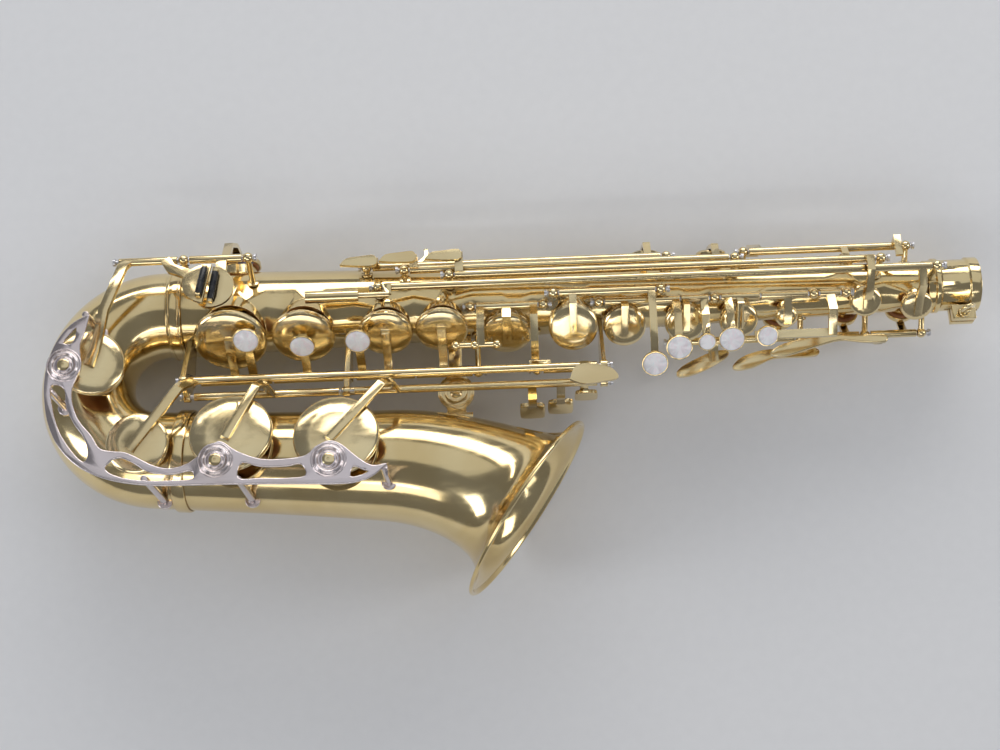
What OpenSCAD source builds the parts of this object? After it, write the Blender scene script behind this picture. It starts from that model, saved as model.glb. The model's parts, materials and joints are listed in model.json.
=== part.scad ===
// Alto saxophone body lying on its left side, as seen in the photo.
// Built in the instrument frame: x along the body tube toward the neck, y toward the
// back of the instrument, z toward the player's right hand side. at_rest() turns that
// frame into the resting pose, floor at z = 0. All lengths are millimetres.

// which node to draw, or all of them

/* [Body tube] */
// length the taper is measured over, ferrule to neck end
taper_len = 479; // [440:1:520]
// outer radius of the tube at the bow ferrule
foot_r = 26; // [24:0.1:28]
// outer radius of the taper at the neck end
top_r = 13.5; // [12.5:0.1:14.5]
// length of the tube itself, up to the shoulder in the neck socket
tube_len = 458; // [450:1:462]
// sheet thickness of tube, bow and bell
wall = 0.9; // [0.7:0.05:1.2]
// bore radius of the neck socket
socket_r = 12.2; // [11.9:0.05:12.5]

/* [Bow and bell] */
// bend radius of the bow on its centre line
bow_bend = 46; // [44:0.5:48]
// straight run between the ferrule and the bend
bow_lead = 11; // [8:0.5:14]
// tube radius where the bow meets the bell
bell_foot_r = 28.5; // [27.5:0.1:29.5]
// straight run from the end of the bend to the bell joint
bow_tail = 18; // [15:0.5:20]
// straight run of the bell before it turns away
bell_run = 137; // [130:1:144]
// bend radius of the bell's turn on its centre line
bell_bend = 154; // [150:1:160]
// bell turn in degrees
bell_turn = 32.3; // [30:0.1:35]
// outer radius of the rolled rim
rim_r = 59.8; // [58:0.1:61]

/* [Keywork] */
// radius of the steel hinge rods
rod_r = 1.3; // [1.2:0.05:1.4]
// outer radius of the hinge tubes
hinge_r = 2.4; // [2.2:0.05:2.5]
// running clearance between rod and hinge tube
run_gap = 0.05; // [0.03:0.01:0.08]
// height of the tone hole chimneys above the tube
chimney_h = 4; // [3.5:0.1:4.5]
// gap left between a closed pad and its chimney
pad_gap = 0.3; // [0.2:0.05:0.5]
// opening of the stack keys in degrees
stack_open = 13; // [10:0.5:15]
// opening of the large bell keys in degrees
bell_open = 11; // [9:0.5:12]
// radius of the finger pearls
pearl_r = 7; // [6.6:0.1:7.2]

/* [Hidden] */
$fn = 48;
// resting pose: roll about the tube, pitch along it, then the shift onto the floor
roll = 13.449;
pitch = 0.438;
shift = [-198.41, 67.01, 27.435];
lip = 3.2;
cup_h = 5.8;
arm_t = 2.8;
brass = [0.83, 0.66, 0.33];
steel = [0.75, 0.76, 0.78];
hide = [0.55, 0.36, 0.24];
white = [0.95, 0.94, 0.96];
dark = [0.06, 0.06, 0.07];
felt = [0.35, 0.2, 0.14];

// the key stations are laid out on a tube of this length and follow the tube when it changes
tube_layout = 458;
function st(x) = x <= 0 ? x : x * (tube_len / tube_layout);

// hinge lines, each [y, z] of a line along x
H_low = [-46, 5];
H_up = [-12, 25];
H_g = [-7.5, 31];
H_fs = [-1, 34.5];
H_e = [6, 32.5];
H_sc = [12, 28];
H_sb = [17, 22.5];
H_ceb = [18, 42];
H_cs = [-52, 26];
H_b = [-58, 14];
H_bb = [-60, 20];
H_oct = [20, 17];
H_palm = [-24, -16];

// tone holes on the tube, each [x, angle from +z toward the bell, cup radius]
t_d = [33, 47, 21.3];
t_e = [76, 47, 18.5];
t_f = [124.5, 48, 15.9];
t_fs = [157.5, 48, 15.3];
t_gs = [196, 62, 14.6];
t_g = [235.4, 54, 14.4];
t_a = [266, 58, 12.4];
t_bis = [302, 58, 11.8];
t_b = [334, 58, 11.2];
t_c = [362.5, 56, 6.4];
t_he = [410, 41, 9.2];
t_hfs = [441, 54, 9.2];
t_sc = [322, -75, 9];
t_sb = [282, -85, 9.6];
t_eb = [32, -90, 13];
t_pd = [364, 160, 9.4];
t_pe = [404, 160, 9];
t_pf = [439, 160, 8.6];
t_oct = [400, -30, 4.6];
TUBE_HOLES = [t_d, t_e, t_f, t_fs, t_gs, t_g, t_a, t_bis, t_b, t_c, t_he, t_hfs, t_sc, t_sb,
  t_eb, t_pd, t_pe, t_pf, t_oct];

// centre line of the bell, s measured from the bow
bell_dir = -3.5;
bell_s = bell_run + bell_bend * bell_turn * PI / 180;
function bow_mid(a) = [-bow_lead - bow_bend * sin(a), -bow_bend + bow_bend * cos(a)];
bow_end = bow_mid(180 + bell_dir);
function bell_head(s) = s <= bell_run ? bell_dir
  : bell_dir - (min(s, bell_s) - bell_run) / bell_bend * 180 / PI;
function bell_arc(h) = bell_bend * [sin(-h) - sin(-bell_dir), cos(h) - cos(bell_dir)];
function bell_mid(s) = let(h = bell_head(s), straight = min(s, bell_run),
    base = bow_end + straight * [cos(bell_dir), sin(bell_dir)],
    over = max(0, s - bell_s))
  s <= bell_run ? base : base + bell_arc(h) + over * [cos(h), sin(h)];
function bell_r(s) = bell_foot_r * pow((bell_s + 2) / (bell_s + 2 - min(s, bell_s)), 0.15);
function tube_r(x) = foot_r - (foot_r - top_r) * x / taper_len;
function bow_r(a) = foot_r + (bell_foot_r - foot_r) * a / (180 + bell_dir);
function n_of(phi) = [-sin(phi), cos(phi)];
function t_of(phi) = [-cos(phi), -sin(phi)];
function top_of(h) = tube_r(st(h[0])) + chimney_h;
function lid_of(h, up) = (top_of(h) + cup_h + up) * n_of(h[1]);

// bell and bow holes, each [x, y, tube radius there, cup radius]
b_bb = [98, bell_mid(112)[1], bell_r(112), 24.2];
b_b = [38, bell_mid(52)[1], bell_r(52), 23.6];
b_cs = [-17, -2 * bow_bend + 0.2, bell_foot_r, 17.6];
c_cup_r = 19;
c_turn = 80;
c_tilt = [8, 20];

// what a soldered foot is shaped to: the tube with a hair of solder gap
seat_gap = 0.15;
module tube_seat() along_x(0) cylinder(r1 = foot_r + seat_gap, r2 = tube_r(tube_len) + seat_gap, h = tube_len);

// outline of a bar of thickness t along a polyline
function unit(v) = v / norm(v);
function side_of(p, i) = let(a = i > 0 ? unit(p[i] - p[i - 1]) : unit(p[1] - p[0]),
    b = i < len(p) - 1 ? unit(p[i + 1] - p[i]) : a, m = unit(a + b), n = [-m[1], m[0]])
  n / max(0.5, n * [-a[1], a[0]]);
function bar(p, t) = concat([for (i = [0:len(p) - 1]) p[i] + t / 2 * side_of(p, i)],
  [for (i = [len(p) - 1:-1:0]) p[i] - t / 2 * side_of(p, i)]);
function catmull(p, i, u) = let(a = p[max(i - 1, 0)], b = p[i], c = p[i + 1],
    d = p[min(i + 2, len(p) - 1)])
  0.5 * (2 * b + (c - a) * u + (2 * a - 5 * b + 4 * c - d) * u * u
    + (3 * b - a - 3 * c + d) * u * u * u);
function spline(p, k) = concat([for (i = [0:len(p) - 2]) for (j = [0:k - 1]) catmull(p, i, j / k)],
  [p[len(p) - 1]]);

module at_rest() translate(shift) rotate([0, -pitch, 0]) rotate([-roll, 0, 0]) children();
module along_x(x) translate([x, 0, 0]) rotate([0, 90, 0]) children();
module at_hole(h) translate([st(h[0]), 0, 0]) rotate([h[1], 0, 0]) translate([0, 0, top_of(h)]) children();
module on_bell(b) translate([b[0], b[1], b[2] + chimney_h]) children();
module swung(h, a) translate([0, h[0], h[1]]) rotate([a, 0, 0]) translate([0, -h[0], -h[1]]) children();
module line(h, x0, x1, r) translate([0, h[0], h[1]]) along_x(st(x0)) cylinder(r = r, h = st(x1) - st(x0));

// flat arm in a plane across the tube, at x, along a polyline of [y, z] points
module arm(x, p, w = 5, t = arm_t) translate([st(x), 0, 0]) rotate([90, 0, 90])
  linear_extrude(w, center = true) polygon(bar(p, t));
// flat arm in an upright plane through start, heading a, along [distance, z] points
module lever(start, a, p, w = 5, t = arm_t) translate([start[0], start[1], 0]) rotate([0, 0, a])
  rotate([90, 0, 0]) linear_extrude(w, center = true) polygon(bar(p, t));

// pad cup, its z = 0 at the chimney rim
module cup(r) rotate_extrude() polygon([[r - 0.8, 1.2], [r, 1.2], [r, 4.2], [r - 1.4, 5.2],
  [r * 0.55, 5.6], [0, cup_h], [0, 4.8], [r * 0.55, 4.7], [r - 1.7, 4.3], [r - 0.8, 3.8]]);
module pad(r) difference() {
  translate([0, 0, pad_gap]) cylinder(r = r - 0.95, h = 3.3);
  translate([0, 0, pad_gap - 0.1]) cylinder(r = r * 0.42, h = 0.7);
}
// pearl seat and pearl on top of a stem, z = 0 at the seat's foot
module pearl_seat(r) difference() {
  rotate_extrude() polygon([[0, 0], [r * 0.5, 0], [r + 0.7, 1.6], [r + 0.7, 3], [0, 3]]);
  translate([0, 0, 1.9]) cylinder(r = r + 0.1, h = 2);
}
module pearl_top(r) translate([0, 0, 1.95]) rotate_extrude()
  polygon([[0, 0], [r, 0], [r, 1.1], [r * 0.9, 1.7], [0, 1.3]]);
module at_pearl(x, phi, q) translate([st(x), 0, 0]) rotate([phi, 0, 0]) translate([0, 0, q]) children();

// hinge tube with its soldered pieces, bored for the steel rod
module key(h, x0, x1) difference() {
  union() {
    line(h, x0, x1, hinge_r);
    children();
  }
  line(h, x0 - 1, x1 + 1, rod_r + run_gap);
}
// arm from a hinge line over a cup on the tube; s is +1 with the hinge past the cup, -1 before it
module cup_arm(h, t, s, w = 5, over = 4) arm(t[0], [h, lid_of(t, 1.1) + s * t_of(t[1]) * (t[2] + 1.3),
  lid_of(t, 1.1) - s * t_of(t[1]) * over], w);

// rings of radius r about centres c heading h, joined into a closed loop of rings
module ring_sweep(c, h, r, k, m) polyhedron(
  points = [for (i = [0:k - 1]) for (j = [0:m - 1]) let(q = 360 * j / m)
    [c[i][0] - sin(h[i]) * r[i] * cos(q), c[i][1] + cos(h[i]) * r[i] * cos(q), r[i] * sin(q)]],
  faces = [for (i = [0:k - 1]) for (j = [0:m - 1]) let(a = (i + 1) % k, b = (j + 1) % m)
    each [[i * m + j, a * m + j, a * m + b], [i * m + j, a * m + b, i * m + b]]], convexity = 8);

// the same, closed by flat ends
module plug_sweep(c, h, r, k, m) polyhedron(
  points = [for (i = [0:k - 1]) for (j = [0:m - 1]) let(q = 360 * j / m)
    [c[i][0] - sin(h[i]) * r[i] * cos(q), c[i][1] + cos(h[i]) * r[i] * cos(q), r[i] * sin(q)]],
  faces = concat([for (i = [0:k - 2]) for (j = [0:m - 1]) let(b = (j + 1) % m)
    each [[i * m + j, i * m + m + j, i * m + m + b], [i * m + j, i * m + m + b, i * m + b]]],
    [[for (j = [0:m - 1]) j], [for (j = [m - 1:-1:0]) (k - 1) * m + j]]), convexity = 8);

module body_tube() color(brass) difference() {
  union() {
    along_x(0) cylinder(r1 = foot_r, r2 = tube_r(tube_len), h = tube_len);
    for (t = TUBE_HOLES) translate([st(t[0]), 0, 0]) rotate([t[1], 0, 0])
      cylinder(r = t[2] - lip + wall, h = top_of(t));
  }
  along_x(-0.1) cylinder(r1 = foot_r - wall, r2 = tube_r(tube_len) - wall, h = tube_len + 0.2);
  for (t = TUBE_HOLES) translate([st(t[0]), 0, 0]) rotate([t[1], 0, 0])
    cylinder(r = t[2] - lip, h = top_of(t) + 1);
}

// the bow's rings, each [centre, heading, radius]: outer wall out, inner wall back
bow_rings = [[[0, 0], 180, foot_r], for (i = [0:20]) let(a = (180 + bell_dir) * i / 20)
  [bow_mid(a), 180 + a, bow_r(a)], [bell_mid(bow_tail), 360 + bell_dir, bell_r(bow_tail)]];
module bow_shell() let(n = len(bow_rings), k = 2 * n, idx = [for (i = [0:k - 1]) i < n ? i : k - 1 - i])
  ring_sweep([for (i = idx) bow_rings[i][0]], [for (i = idx) bow_rings[i][1]],
    [for (i = [0:k - 1]) bow_rings[idx[i]][2] - (i < n ? 0 : wall)], k, 48);
// what trims the chimneys' feet inside the wall of the bow, about the ring of radius r
module bow_bore(r) translate([-bow_lead, -bow_bend, 0]) rotate_extrude() translate([bow_bend, 0]) circle(r = r - 0.6 * wall);
module tail_bore() translate([bow_end[0], bow_end[1], 0]) rotate([0, 90, bell_dir])
  translate([0, 0, -1]) cylinder(r1 = bell_r(0) - 0.6 * wall, r2 = bell_r(bow_tail + 4) - 0.6 * wall, h = bow_tail + 5);
module at_c_hole() translate([bow_mid(c_turn)[0], bow_mid(c_turn)[1], 0])
  rotate([c_tilt[0], c_tilt[1], 0]) translate([0, 0, bow_r(c_turn) + chimney_h]) children();
module bow() color(brass) union() {
  difference() {
    bow_shell();
    translate([b_cs[0], b_cs[1], 0]) cylinder(r = b_cs[3] - lip, h = 50);
    at_c_hole() translate([0, 0, -30]) cylinder(r = c_cup_r - lip, h = 40);
  }
  difference() {
    translate([b_cs[0], b_cs[1], 12]) cylinder(r = b_cs[3] - lip + wall, h = b_cs[2] + chimney_h - 12);
    intersection() {
      bow_bore(bow_r(165));
      translate([bow_end[0] - 99.5, -200, -50]) cube([100, 300, 100]);
    }
    tail_bore();
    translate([b_cs[0], b_cs[1], 0]) cylinder(r = b_cs[3] - lip, h = 50);
  }
  difference() {
    at_c_hole() translate([0, 0, -18]) cylinder(r = c_cup_r - lip + wall, h = 18);
    bow_bore(bow_r(c_turn));
    at_c_hole() translate([0, 0, -30]) cylinder(r = c_cup_r - lip, h = 40);
  }
}

bell_st = [bow_tail, 40, 80, 112, bell_run, for (u = [0.12, 0.24, 0.36, 0.47, 0.57, 0.66, 0.74, 0.81, 0.87,
  0.91, 0.945, 0.968, 0.985]) bell_run + u * (bell_s - bell_run)];
bell_lip = [[0, rim_r - 1.6], [-0.4, rim_r - 0.5], [0.6, rim_r], [1.6, rim_r - 0.5], [1.4, rim_r - 1.7],
  [0.6, rim_r - 2.6]];
module bell_shell() let(n = len(bell_st), e = len(bell_lip), k = 2 * n + e,
    s = [for (i = [0:k - 1]) i < n ? bell_st[i] : i < n + e ? bell_s + bell_lip[i - n][0] : bell_st[k - 1 - i]],
    r = [for (i = [0:k - 1]) i < n ? bell_r(s[i]) : i < n + e ? bell_lip[i - n][1] : bell_r(s[i]) - wall])
  ring_sweep([for (v = s) bell_mid(v)], [for (v = s) bell_head(v)], r, k, 48);
module bell_chimney(b, st) difference() {
  translate([b[0], b[1], 10]) cylinder(r = b[3] - lip + wall, h = b[2] + chimney_h - 10);
  translate([bell_mid(st)[0], bell_mid(st)[1], 0]) rotate([0, 90, bell_dir]) translate([0, 0, -30])
    cylinder(r1 = bell_r(st - 30) - wall / 2, r2 = bell_r(st + 30) - wall / 2, h = 60);
  translate([b[0], b[1], 0]) cylinder(r = b[3] - lip, h = 50);
}
module bell() color(brass) union() {
  difference() {
    bell_shell();
    for (b = [b_b, b_bb]) translate([b[0], b[1], 0]) cylinder(r = b[3] - lip, h = 50);
  }
  bell_chimney(b_b, 52);
  bell_chimney(b_bb, 112);
}

module ferrules() color(brass) {
  difference() {
    along_x(-7) rotate_extrude() polygon([[foot_r + 0.1, 0], [foot_r + 1, 0], [foot_r + 1.4, 1],
      [foot_r + 1.4, 8], [foot_r + 1, 9], [foot_r + 0.1, 9]]);
  }
  translate([bell_mid(bow_tail)[0], bell_mid(bow_tail)[1], 0]) rotate([0, 90, bell_dir])
    translate([0, 0, -4]) rotate_extrude() let(r = bell_r(bow_tail + 4) + 0.1)
    polygon([[r, 0], [r + 1, 0], [r + 1.4, 1], [r + 1.4, 7], [r + 1, 8], [r, 8]]);
}

// where the neck socket's sleeve is measured from, and the radius it is bored to over the tube
sock_x = tube_len - 14;
sock_r = tube_r(sock_x + 2) + 0.3;
module neck_receiver() color(brass) difference() {
  union() {
    along_x(sock_x) rotate_extrude() polygon([[0, 5.5], [sock_r + 0.9, 5.5], [sock_r + 0.9, 9.8], [sock_r + 2, 10.6],
      [sock_r + 2, 13], [sock_r + 0.9, 14], [sock_r + 0.9, 30], [sock_r + 2, 31], [sock_r + 2, 37], [0, 37]]);
    translate([sock_x + 20, -sock_r - 9, -5]) cube([14, 10, 10]);
  }
  along_x(sock_x - 1) cylinder(r = sock_r, h = tube_len - sock_x + 1);
  along_x(sock_x - 1) cylinder(r = socket_r, h = 50);
  translate([sock_x + 17, -sock_r - 10, -0.7]) cube([30, sock_r, 1.4]);
  translate([sock_x + 27, -sock_r - 5.4, -20]) cylinder(r = 1.75, h = 40);
}
module neck_screw() color(brass) translate([sock_x + 27, -sock_r - 5.4, 0]) {
  translate([0, 0, -7.5]) cylinder(r = 1.7, h = 13.5);
  translate([0, 0, 5.3]) cylinder(r = 3.4, h = 1.6);
  translate([0, 0, 6.9]) rotate_extrude() polygon([[0, 0], [2, 0], [1.6, 3], [2.4, 5], [0, 5]]);
  translate([0, 0, 13.4]) rotate([90, 0, 20]) scale(1) cylinder(r = 4.6, h = 2, center = true);
}

brace_x = 164;
brace_y = -55.5;
module bell_brace() color(brass) difference() {
  union() {
    translate([brace_x, brace_y, -5]) cylinder(r = 11, h = 3);
    translate([brace_x, brace_y, -2]) rotate_extrude() polygon([[8.6, 0], [9.8, 0], [9.8, 0.9], [8.6, 0.9]]);
    translate([brace_x, brace_y, -2]) rotate_extrude() polygon([[5.6, 0], [6.8, 0], [6.8, 0.9], [5.6, 0.9]]);
    translate([brace_x, brace_y, -2]) rotate_extrude() polygon([[0, 0], [3.6, 0], [2.4, 0.9], [0, 1.2]]);
    translate([brace_x, 0, -5]) linear_extrude(3) polygon([[-7, brace_y - 5], [-5.5, brace_y - 12], [-8, -71], [-8, -78],
      [8, -78], [8, -71], [5.5, brace_y - 12], [7, brace_y - 5]]);
    translate([brace_x, 0, -5]) linear_extrude(3) polygon([[-6, brace_y + 6], [-4, brace_y + 14], [-4, -28], [-8, -24],
      [-8, -16], [8, -16], [8, -24], [4, -28], [4, brace_y + 14], [6, brace_y + 6]]);
    translate([brace_x - 10, -25.4, -9]) cube([20, 6, 11]);
    translate([brace_x - 10, -76, -9]) cube([20, 6, 11]);
  }
  tube_seat();
  translate([bell_mid(176)[0], bell_mid(176)[1], 0]) rotate([0, 90, bell_head(176)])
    translate([0, 0, -40]) cylinder(r1 = bell_r(136), r2 = bell_r(204) - 4, h = 68);
}

// flat wire guard over the bell keys, in the plane z = guard_z
guard_z = 59;
bump1 = [-54, -52];
bump2 = [33.3, -111];
bump3 = [95.8, -113];
guard_t = 1.8;
guard_out = [[-41, -21.5], [-50, -26], [-58, -35.5], [-63, -48], [-64.5, -60], [-64, -70.5], [-61.5, -84],
  [-56.5, -96], [-49.5, -105.5], [-40.5, -113], [-29, -118.5], [-16, -122], [-0.5, -124], [16, -124.5],
  [44, -125], [72, -126], [100, -127], [112.5, -126], [121, -122.5], [128.5, -116]];
guard_in = [[128.5, -116], [119.5, -117], [111, -111.5], [103, -104.5], [96, -102], [88.5, -105], [83, -110],
  [72, -111.5], [58, -111], [45, -106], [34.5, -100], [22.5, -109], [16, -113], [7.5, -114.5], [-1, -112.5],
  [-8.5, -108.5], [-16.5, -104.5], [-24, -103.5], [-31, -101.5], [-36, -94], [-43.5, -85], [-47.5, -75.5],
  [-48.5, -66.5], [-46.5, -60], [-44.5, -51.5], [-45.5, -40], [-43, -31.5], [-41, -21.5]];
// openings cut in the guard's sheet, one outline each
guard_windows = [
  [[-48, -29.5], [-52.5, -34.5], [-55, -38.5], [-50, -38.5]],
  [[-60.5, -64], [-53, -66], [-51, -77], [-46, -87], [-40, -95.5], [-37.5, -104], [-39.5, -109], [-46.5, -102.5],
    [-54, -91], [-58.5, -78]],
  [[-27, -114], [-25, -109.5], [-19.5, -107.5], [-12.5, -110.5], [-5, -115.5], [2, -117.5], [10.5, -118],
    [20, -116.5], [21, -121], [10.5, -121.5], [-5, -121], [-19, -118.5]],
  [[48, -113], [58, -115.5], [72, -116], [80.5, -115], [83, -121.5], [72, -122.5], [58, -122], [46.5, -121.5]],
  [[109.5, -117.5], [115, -119.5], [118, -120.5], [113, -122.5], [108, -123]]];
function loop_spline(p, k) = let(n = len(p), q = concat([p[n - 1]], p, [p[0], p[1]]))
  [for (i = [1:n]) for (j = [0:k - 1]) catmull(q, i, j / k)];
guard_feet = [[126, -118, 25.6], [46, -122, 12.5], [-6, -119.5, 7.4], [-62, -66, 25.2], [-44, -21, 25.6]];
module key_guard() color(brass) difference() {
  union() {
    translate([0, 0, guard_z]) linear_extrude(guard_t) difference() {
      polygon(concat(spline(guard_out, 4), spline(guard_in, 4)));
      for (w = guard_windows) polygon(loop_spline(w, 4));
    }
    for (b = [bump1, bump2, bump3]) translate([b[0], b[1], guard_z]) rotate_extrude()
      polygon([[0, -4], [8.5, -4], [8.5, 0], [9.8, 0], [9.8, guard_t], [8.4, guard_t], [7.9, 2.6], [6.4, 2.6],
        [5.9, guard_t], [4.8, guard_t], [4.3, 2.6], [0, 2.6]]);
    for (f = guard_feet) translate([f[0], f[1], f[2]]) {
      cylinder(r = 2, h = guard_z - f[2] + 0.5);
      cylinder(r = 4.5, h = 2.2);
    }
  }
  for (b = [bump1, bump2, bump3]) translate([b[0], b[1], guard_z - 5]) cylinder(r = 7.2, h = 5);
  for (b = [bump1, bump2, bump3]) translate([b[0], b[1], guard_z - 5]) cylinder(r = 2.05, h = 10);
}
module guard_bumpers() for (b = [bump1, bump2, bump3]) translate([b[0], b[1], guard_z]) {
  color(felt) union() {
    translate([0, 0, -6]) cylinder(r = 7, h = 5.9);
    translate([0, 0, -0.5]) cylinder(r = 2, h = 3.3);
    translate([0, 0, 2.65]) cylinder(r = 3.4, h = 1);
  }
}

// ball posts, each [hinge line, x]; they stand on the tube and carry the rods
POSTS = [[H_low, 178], [H_low, 213], [H_up, 174.6], [H_up, 218], [H_up, 251], [H_up, 319.5], [H_up, 378],
  [H_up, 397], [H_g, 224], [H_g, 287.5], [H_fs, 121], [H_fs, 449.6], [H_e, 163], [H_e, 418], [H_sc, 136],
  [H_sc, 333], [H_sb, 113], [H_sb, 293], [H_ceb, 7], [H_ceb, 45], [H_oct, 340], [H_oct, 437.6],
  [H_palm, 297], [H_palm, 375.5], [H_palm, 415], [H_palm, 449.6]];
// plate brackets that carry several rods at once, each [x, thickness, hinge lines, outline]
BRACKETS = [
  [6, 3, [H_low, H_cs, H_b], [[-20, 13], [-50.5, 28.6], [-54.5, 26.5], [-60.5, 15], [-58, 11.5],
    [-46.5, 2], [-22, 1]]],
  [101, 3, [H_low, H_bb], [[-19, 11], [-58.5, 22.6], [-62.6, 20], [-60, 17.4], [-55, 17.2], [-48.6, 4],
    [-46.5, 2], [-20, 1]]],
  [251.7, 2.4, [H_low, H_cs, H_bb, H_b], [[-15, 9.5], [-50.5, 28.6], [-54.5, 27], [-62.5, 21.5],
    [-60.5, 11.8], [-46.5, 2], [-17, 1]]]];
function phi_of(h) = atan2(-h[0], h[1]);
module post(h, x) difference() {
  translate([st(x), 0, 0]) rotate([phi_of(h), 0, 0]) {
    translate([0, 0, tube_r(st(x)) - 3]) cylinder(r = 1.8, h = norm(h) - tube_r(st(x)) + 3);
    translate([0, 0, tube_r(st(x)) - 3]) cylinder(r = 3.4, h = 4.2);
    translate([0, 0, norm(h)]) sphere(r = 3.1);
  }
  tube_seat();
  along_x(sock_x - 0.3) cylinder(r = sock_r + 1.2, h = 12);
  line(h, x - 6, x + 6, rod_r + run_gap);
  translate([st(x), 0, 0]) rotate([phi_of(h), 0, 0]) translate([-6, 0, norm(h) - 4.2]) rotate([0, 90, 0])
    cylinder(r = 0.45, h = 12);
}
module bracket(x, t, lines, outline) difference() {
  union() {
    translate([st(x), 0, 0]) rotate([90, 0, 90]) linear_extrude(t, center = true) polygon(outline);
    for (h = lines) line(h, x - 1.9, x + 1.9, 3.1);
  }
  tube_seat();
  for (h = lines) line(h, x - 6, x + 6, rod_r + run_gap);
  for (h = lines) translate([0, h[0], h[1]] * (1 - 4.2 / norm(h))) along_x(st(x) - 6) cylinder(r = 0.45, h = 12);
}
module posts() color(brass) {
  for (p = POSTS) post(p[0], p[1]);
  for (b = BRACKETS) bracket(b[0], b[1], b[2], b[3]);
}

// steel rods, each [hinge line, x from, x to], with a screw head at both ends
RODS = [[H_low, 3.4, 181.5], [H_low, 209.5, 255.2], [H_up, 171.1, 221.5], [H_up, 247.5, 400.5],
  [H_g, 220.5, 291], [H_fs, 117.5, 453.5], [H_e, 159.5, 421.5], [H_sc, 132.5, 336.5],
  [H_sb, 109.5, 296.5], [H_ceb, -33, 48.5], [H_oct, 336.5, 441.1], [H_palm, 293.5, 453.5],
  [H_cs, 3.4, 255.2], [H_b, 3.4, 255.2], [H_bb, 98, 255.2]];
module hinge_rods() color(steel) for (r = RODS) {
  line(r[0], r[1], r[2], rod_r);
  line(r[0], r[2], r[2] + 1, rod_r + 0.9);
  line(r[0], r[1] - 1, r[1], rod_r + 0.9);
}

// needle springs, each [hinge line, post x, run along x]
SPRINGS = [[H_low, 6, 18], [H_low, 101, -17], [H_low, 178, -14], [H_up, 251, 10], [H_up, 319.5, 9],
  [H_up, 378, -11], [H_g, 224, 12], [H_ceb, 7, -15], [H_ceb, 45, -9], [H_up, 218, -16]];
module springs() color(steel) for (s = SPRINGS) translate([st(s[1]), 0, 0]) rotate([phi_of(s[0]), 0, 0])
  translate([s[2] > 0 ? -2.6 : 2.6 + s[2], 0, norm(s[0]) - 4.2]) rotate([0, 90, 0])
  cylinder(r = 0.4, h = abs(s[2]));

module thumb_hook() color(brass) difference() {
  union() {
    translate([st(124), 0, 0]) rotate([-106, 0, 0]) {
      translate([-7, -9, 20]) cube([30, 18, 4]);
      translate([4, 0, 22]) cylinder(r = 4, h = 5);
    }
    translate([st(124) + 4, 0, 0]) rotate([-106, 0, 0]) translate([0, 0, 26]) rotate([90, 0, 0])
      linear_extrude(13, center = true) polygon(bar(spline([[-6, 0], [4, 0], [13, 2], [19, 8], [19, 14]], 4), 2.4));
  }
  tube_seat();
}
module thumb_rest() color(dark) difference() {
  translate([st(330), 0, 0]) rotate([-128, 0, 0]) translate([0, 0, 12]) rotate_extrude()
    polygon([[0, 0], [9, 0], [9, 7], [7.5, 9], [0, 9.6]]);
  tube_seat();
}
module strap_ring() color(brass) difference() {
  translate([st(206), 0, 0]) rotate([-122, 0, 0]) {
    translate([0, 0, 14]) cylinder(r = 5, h = 8.4);
    translate([0, 0, 20]) cylinder(r = 2.6, h = 5);
    translate([0, -1.75, 31]) rotate([-90, 0, 0]) cylinder(r = 8, h = 3.5);
  }
  tube_seat();
  translate([st(206), 0, 0]) rotate([-122, 0, 0]) translate([0, -5, 31]) rotate([-90, 0, 0]) cylinder(r = 5, h = 10);
}

// touch plate of the left hand's little finger table, w wide about station x, its low corner at p, h high
module table_plate(x, w, p, h) translate([st(x), p[0], p[1]]) rotate([90, 0, 0]) translate([0, 0, -2.6])
  linear_extrude(2.6) polygon(loop_spline([[-w / 2 + 1.5, 0.6], [0, 0], [w / 2 - 1.5, 0.6], [w / 2, 3], [w / 2, h - 3],
    [w / 2 - 1.5, h - 0.6], [0, h], [-w / 2 + 1.5, h - 0.6], [-w / 2, h - 3], [-w / 2, 3]], 3));

// low bell keys: Bb and B stand open, C sharp stands closed
function bell_lid(b) = b[2] + chimney_h + cup_h + 1.1;
module low_key(h, x0, x1, xa, b) key(h, x0, x1) {
  on_bell(b) cup(b[3]);
  lever([st(xa), h[0]], atan2(b[1] - h[0], b[0] - st(xa)), [[0, h[1]], [4, bell_lid(b) - 7], [11, bell_lid(b)],
    [norm([b[0] - st(xa), b[1] - h[0]]) + 6, bell_lid(b)]], 5.5);
  children();
}
module low_bb_key() color(brass) swung(H_bb, -bell_open) low_key(H_bb, 105.5, 247.5, 130.5, b_bb) {
  arm(209.5, [H_bb, [-65.6, 15], [-65.6, 5], [-60.5, -3], [-58, -11]], 5);
  table_plate(209.5, 15, [-59.3, -24], 16);
}
module low_bb_pad() color(hide) swung(H_bb, -bell_open) on_bell(b_bb) pad(b_bb[3]);
module low_b_key() color(brass) swung(H_b, -bell_open) low_key(H_b, 10, 247.5, 56, b_b) {
  arm(226.5, [H_b, [-60.5, 4], [-58, -9]], 5);
  table_plate(226.5, 15, [-59.3, -22], 15);
}
module low_b_pad() color(hide) swung(H_b, -bell_open) on_bell(b_b) pad(b_b[3]);
module low_cs_key() color(brass) low_key(H_cs, 10, 247.5, 12.8, b_cs) {
  arm(240, [H_cs, [-53, 33], [-57, 37]], 5);
  translate([st(240) - 9, -64, 36]) linear_extrude(2.4) polygon(spline([[0, 0], [4, 8], [14, 9], [24, 6], [28, 0],
    [20, -2], [8, -3], [0, 0]], 4));
}

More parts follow.
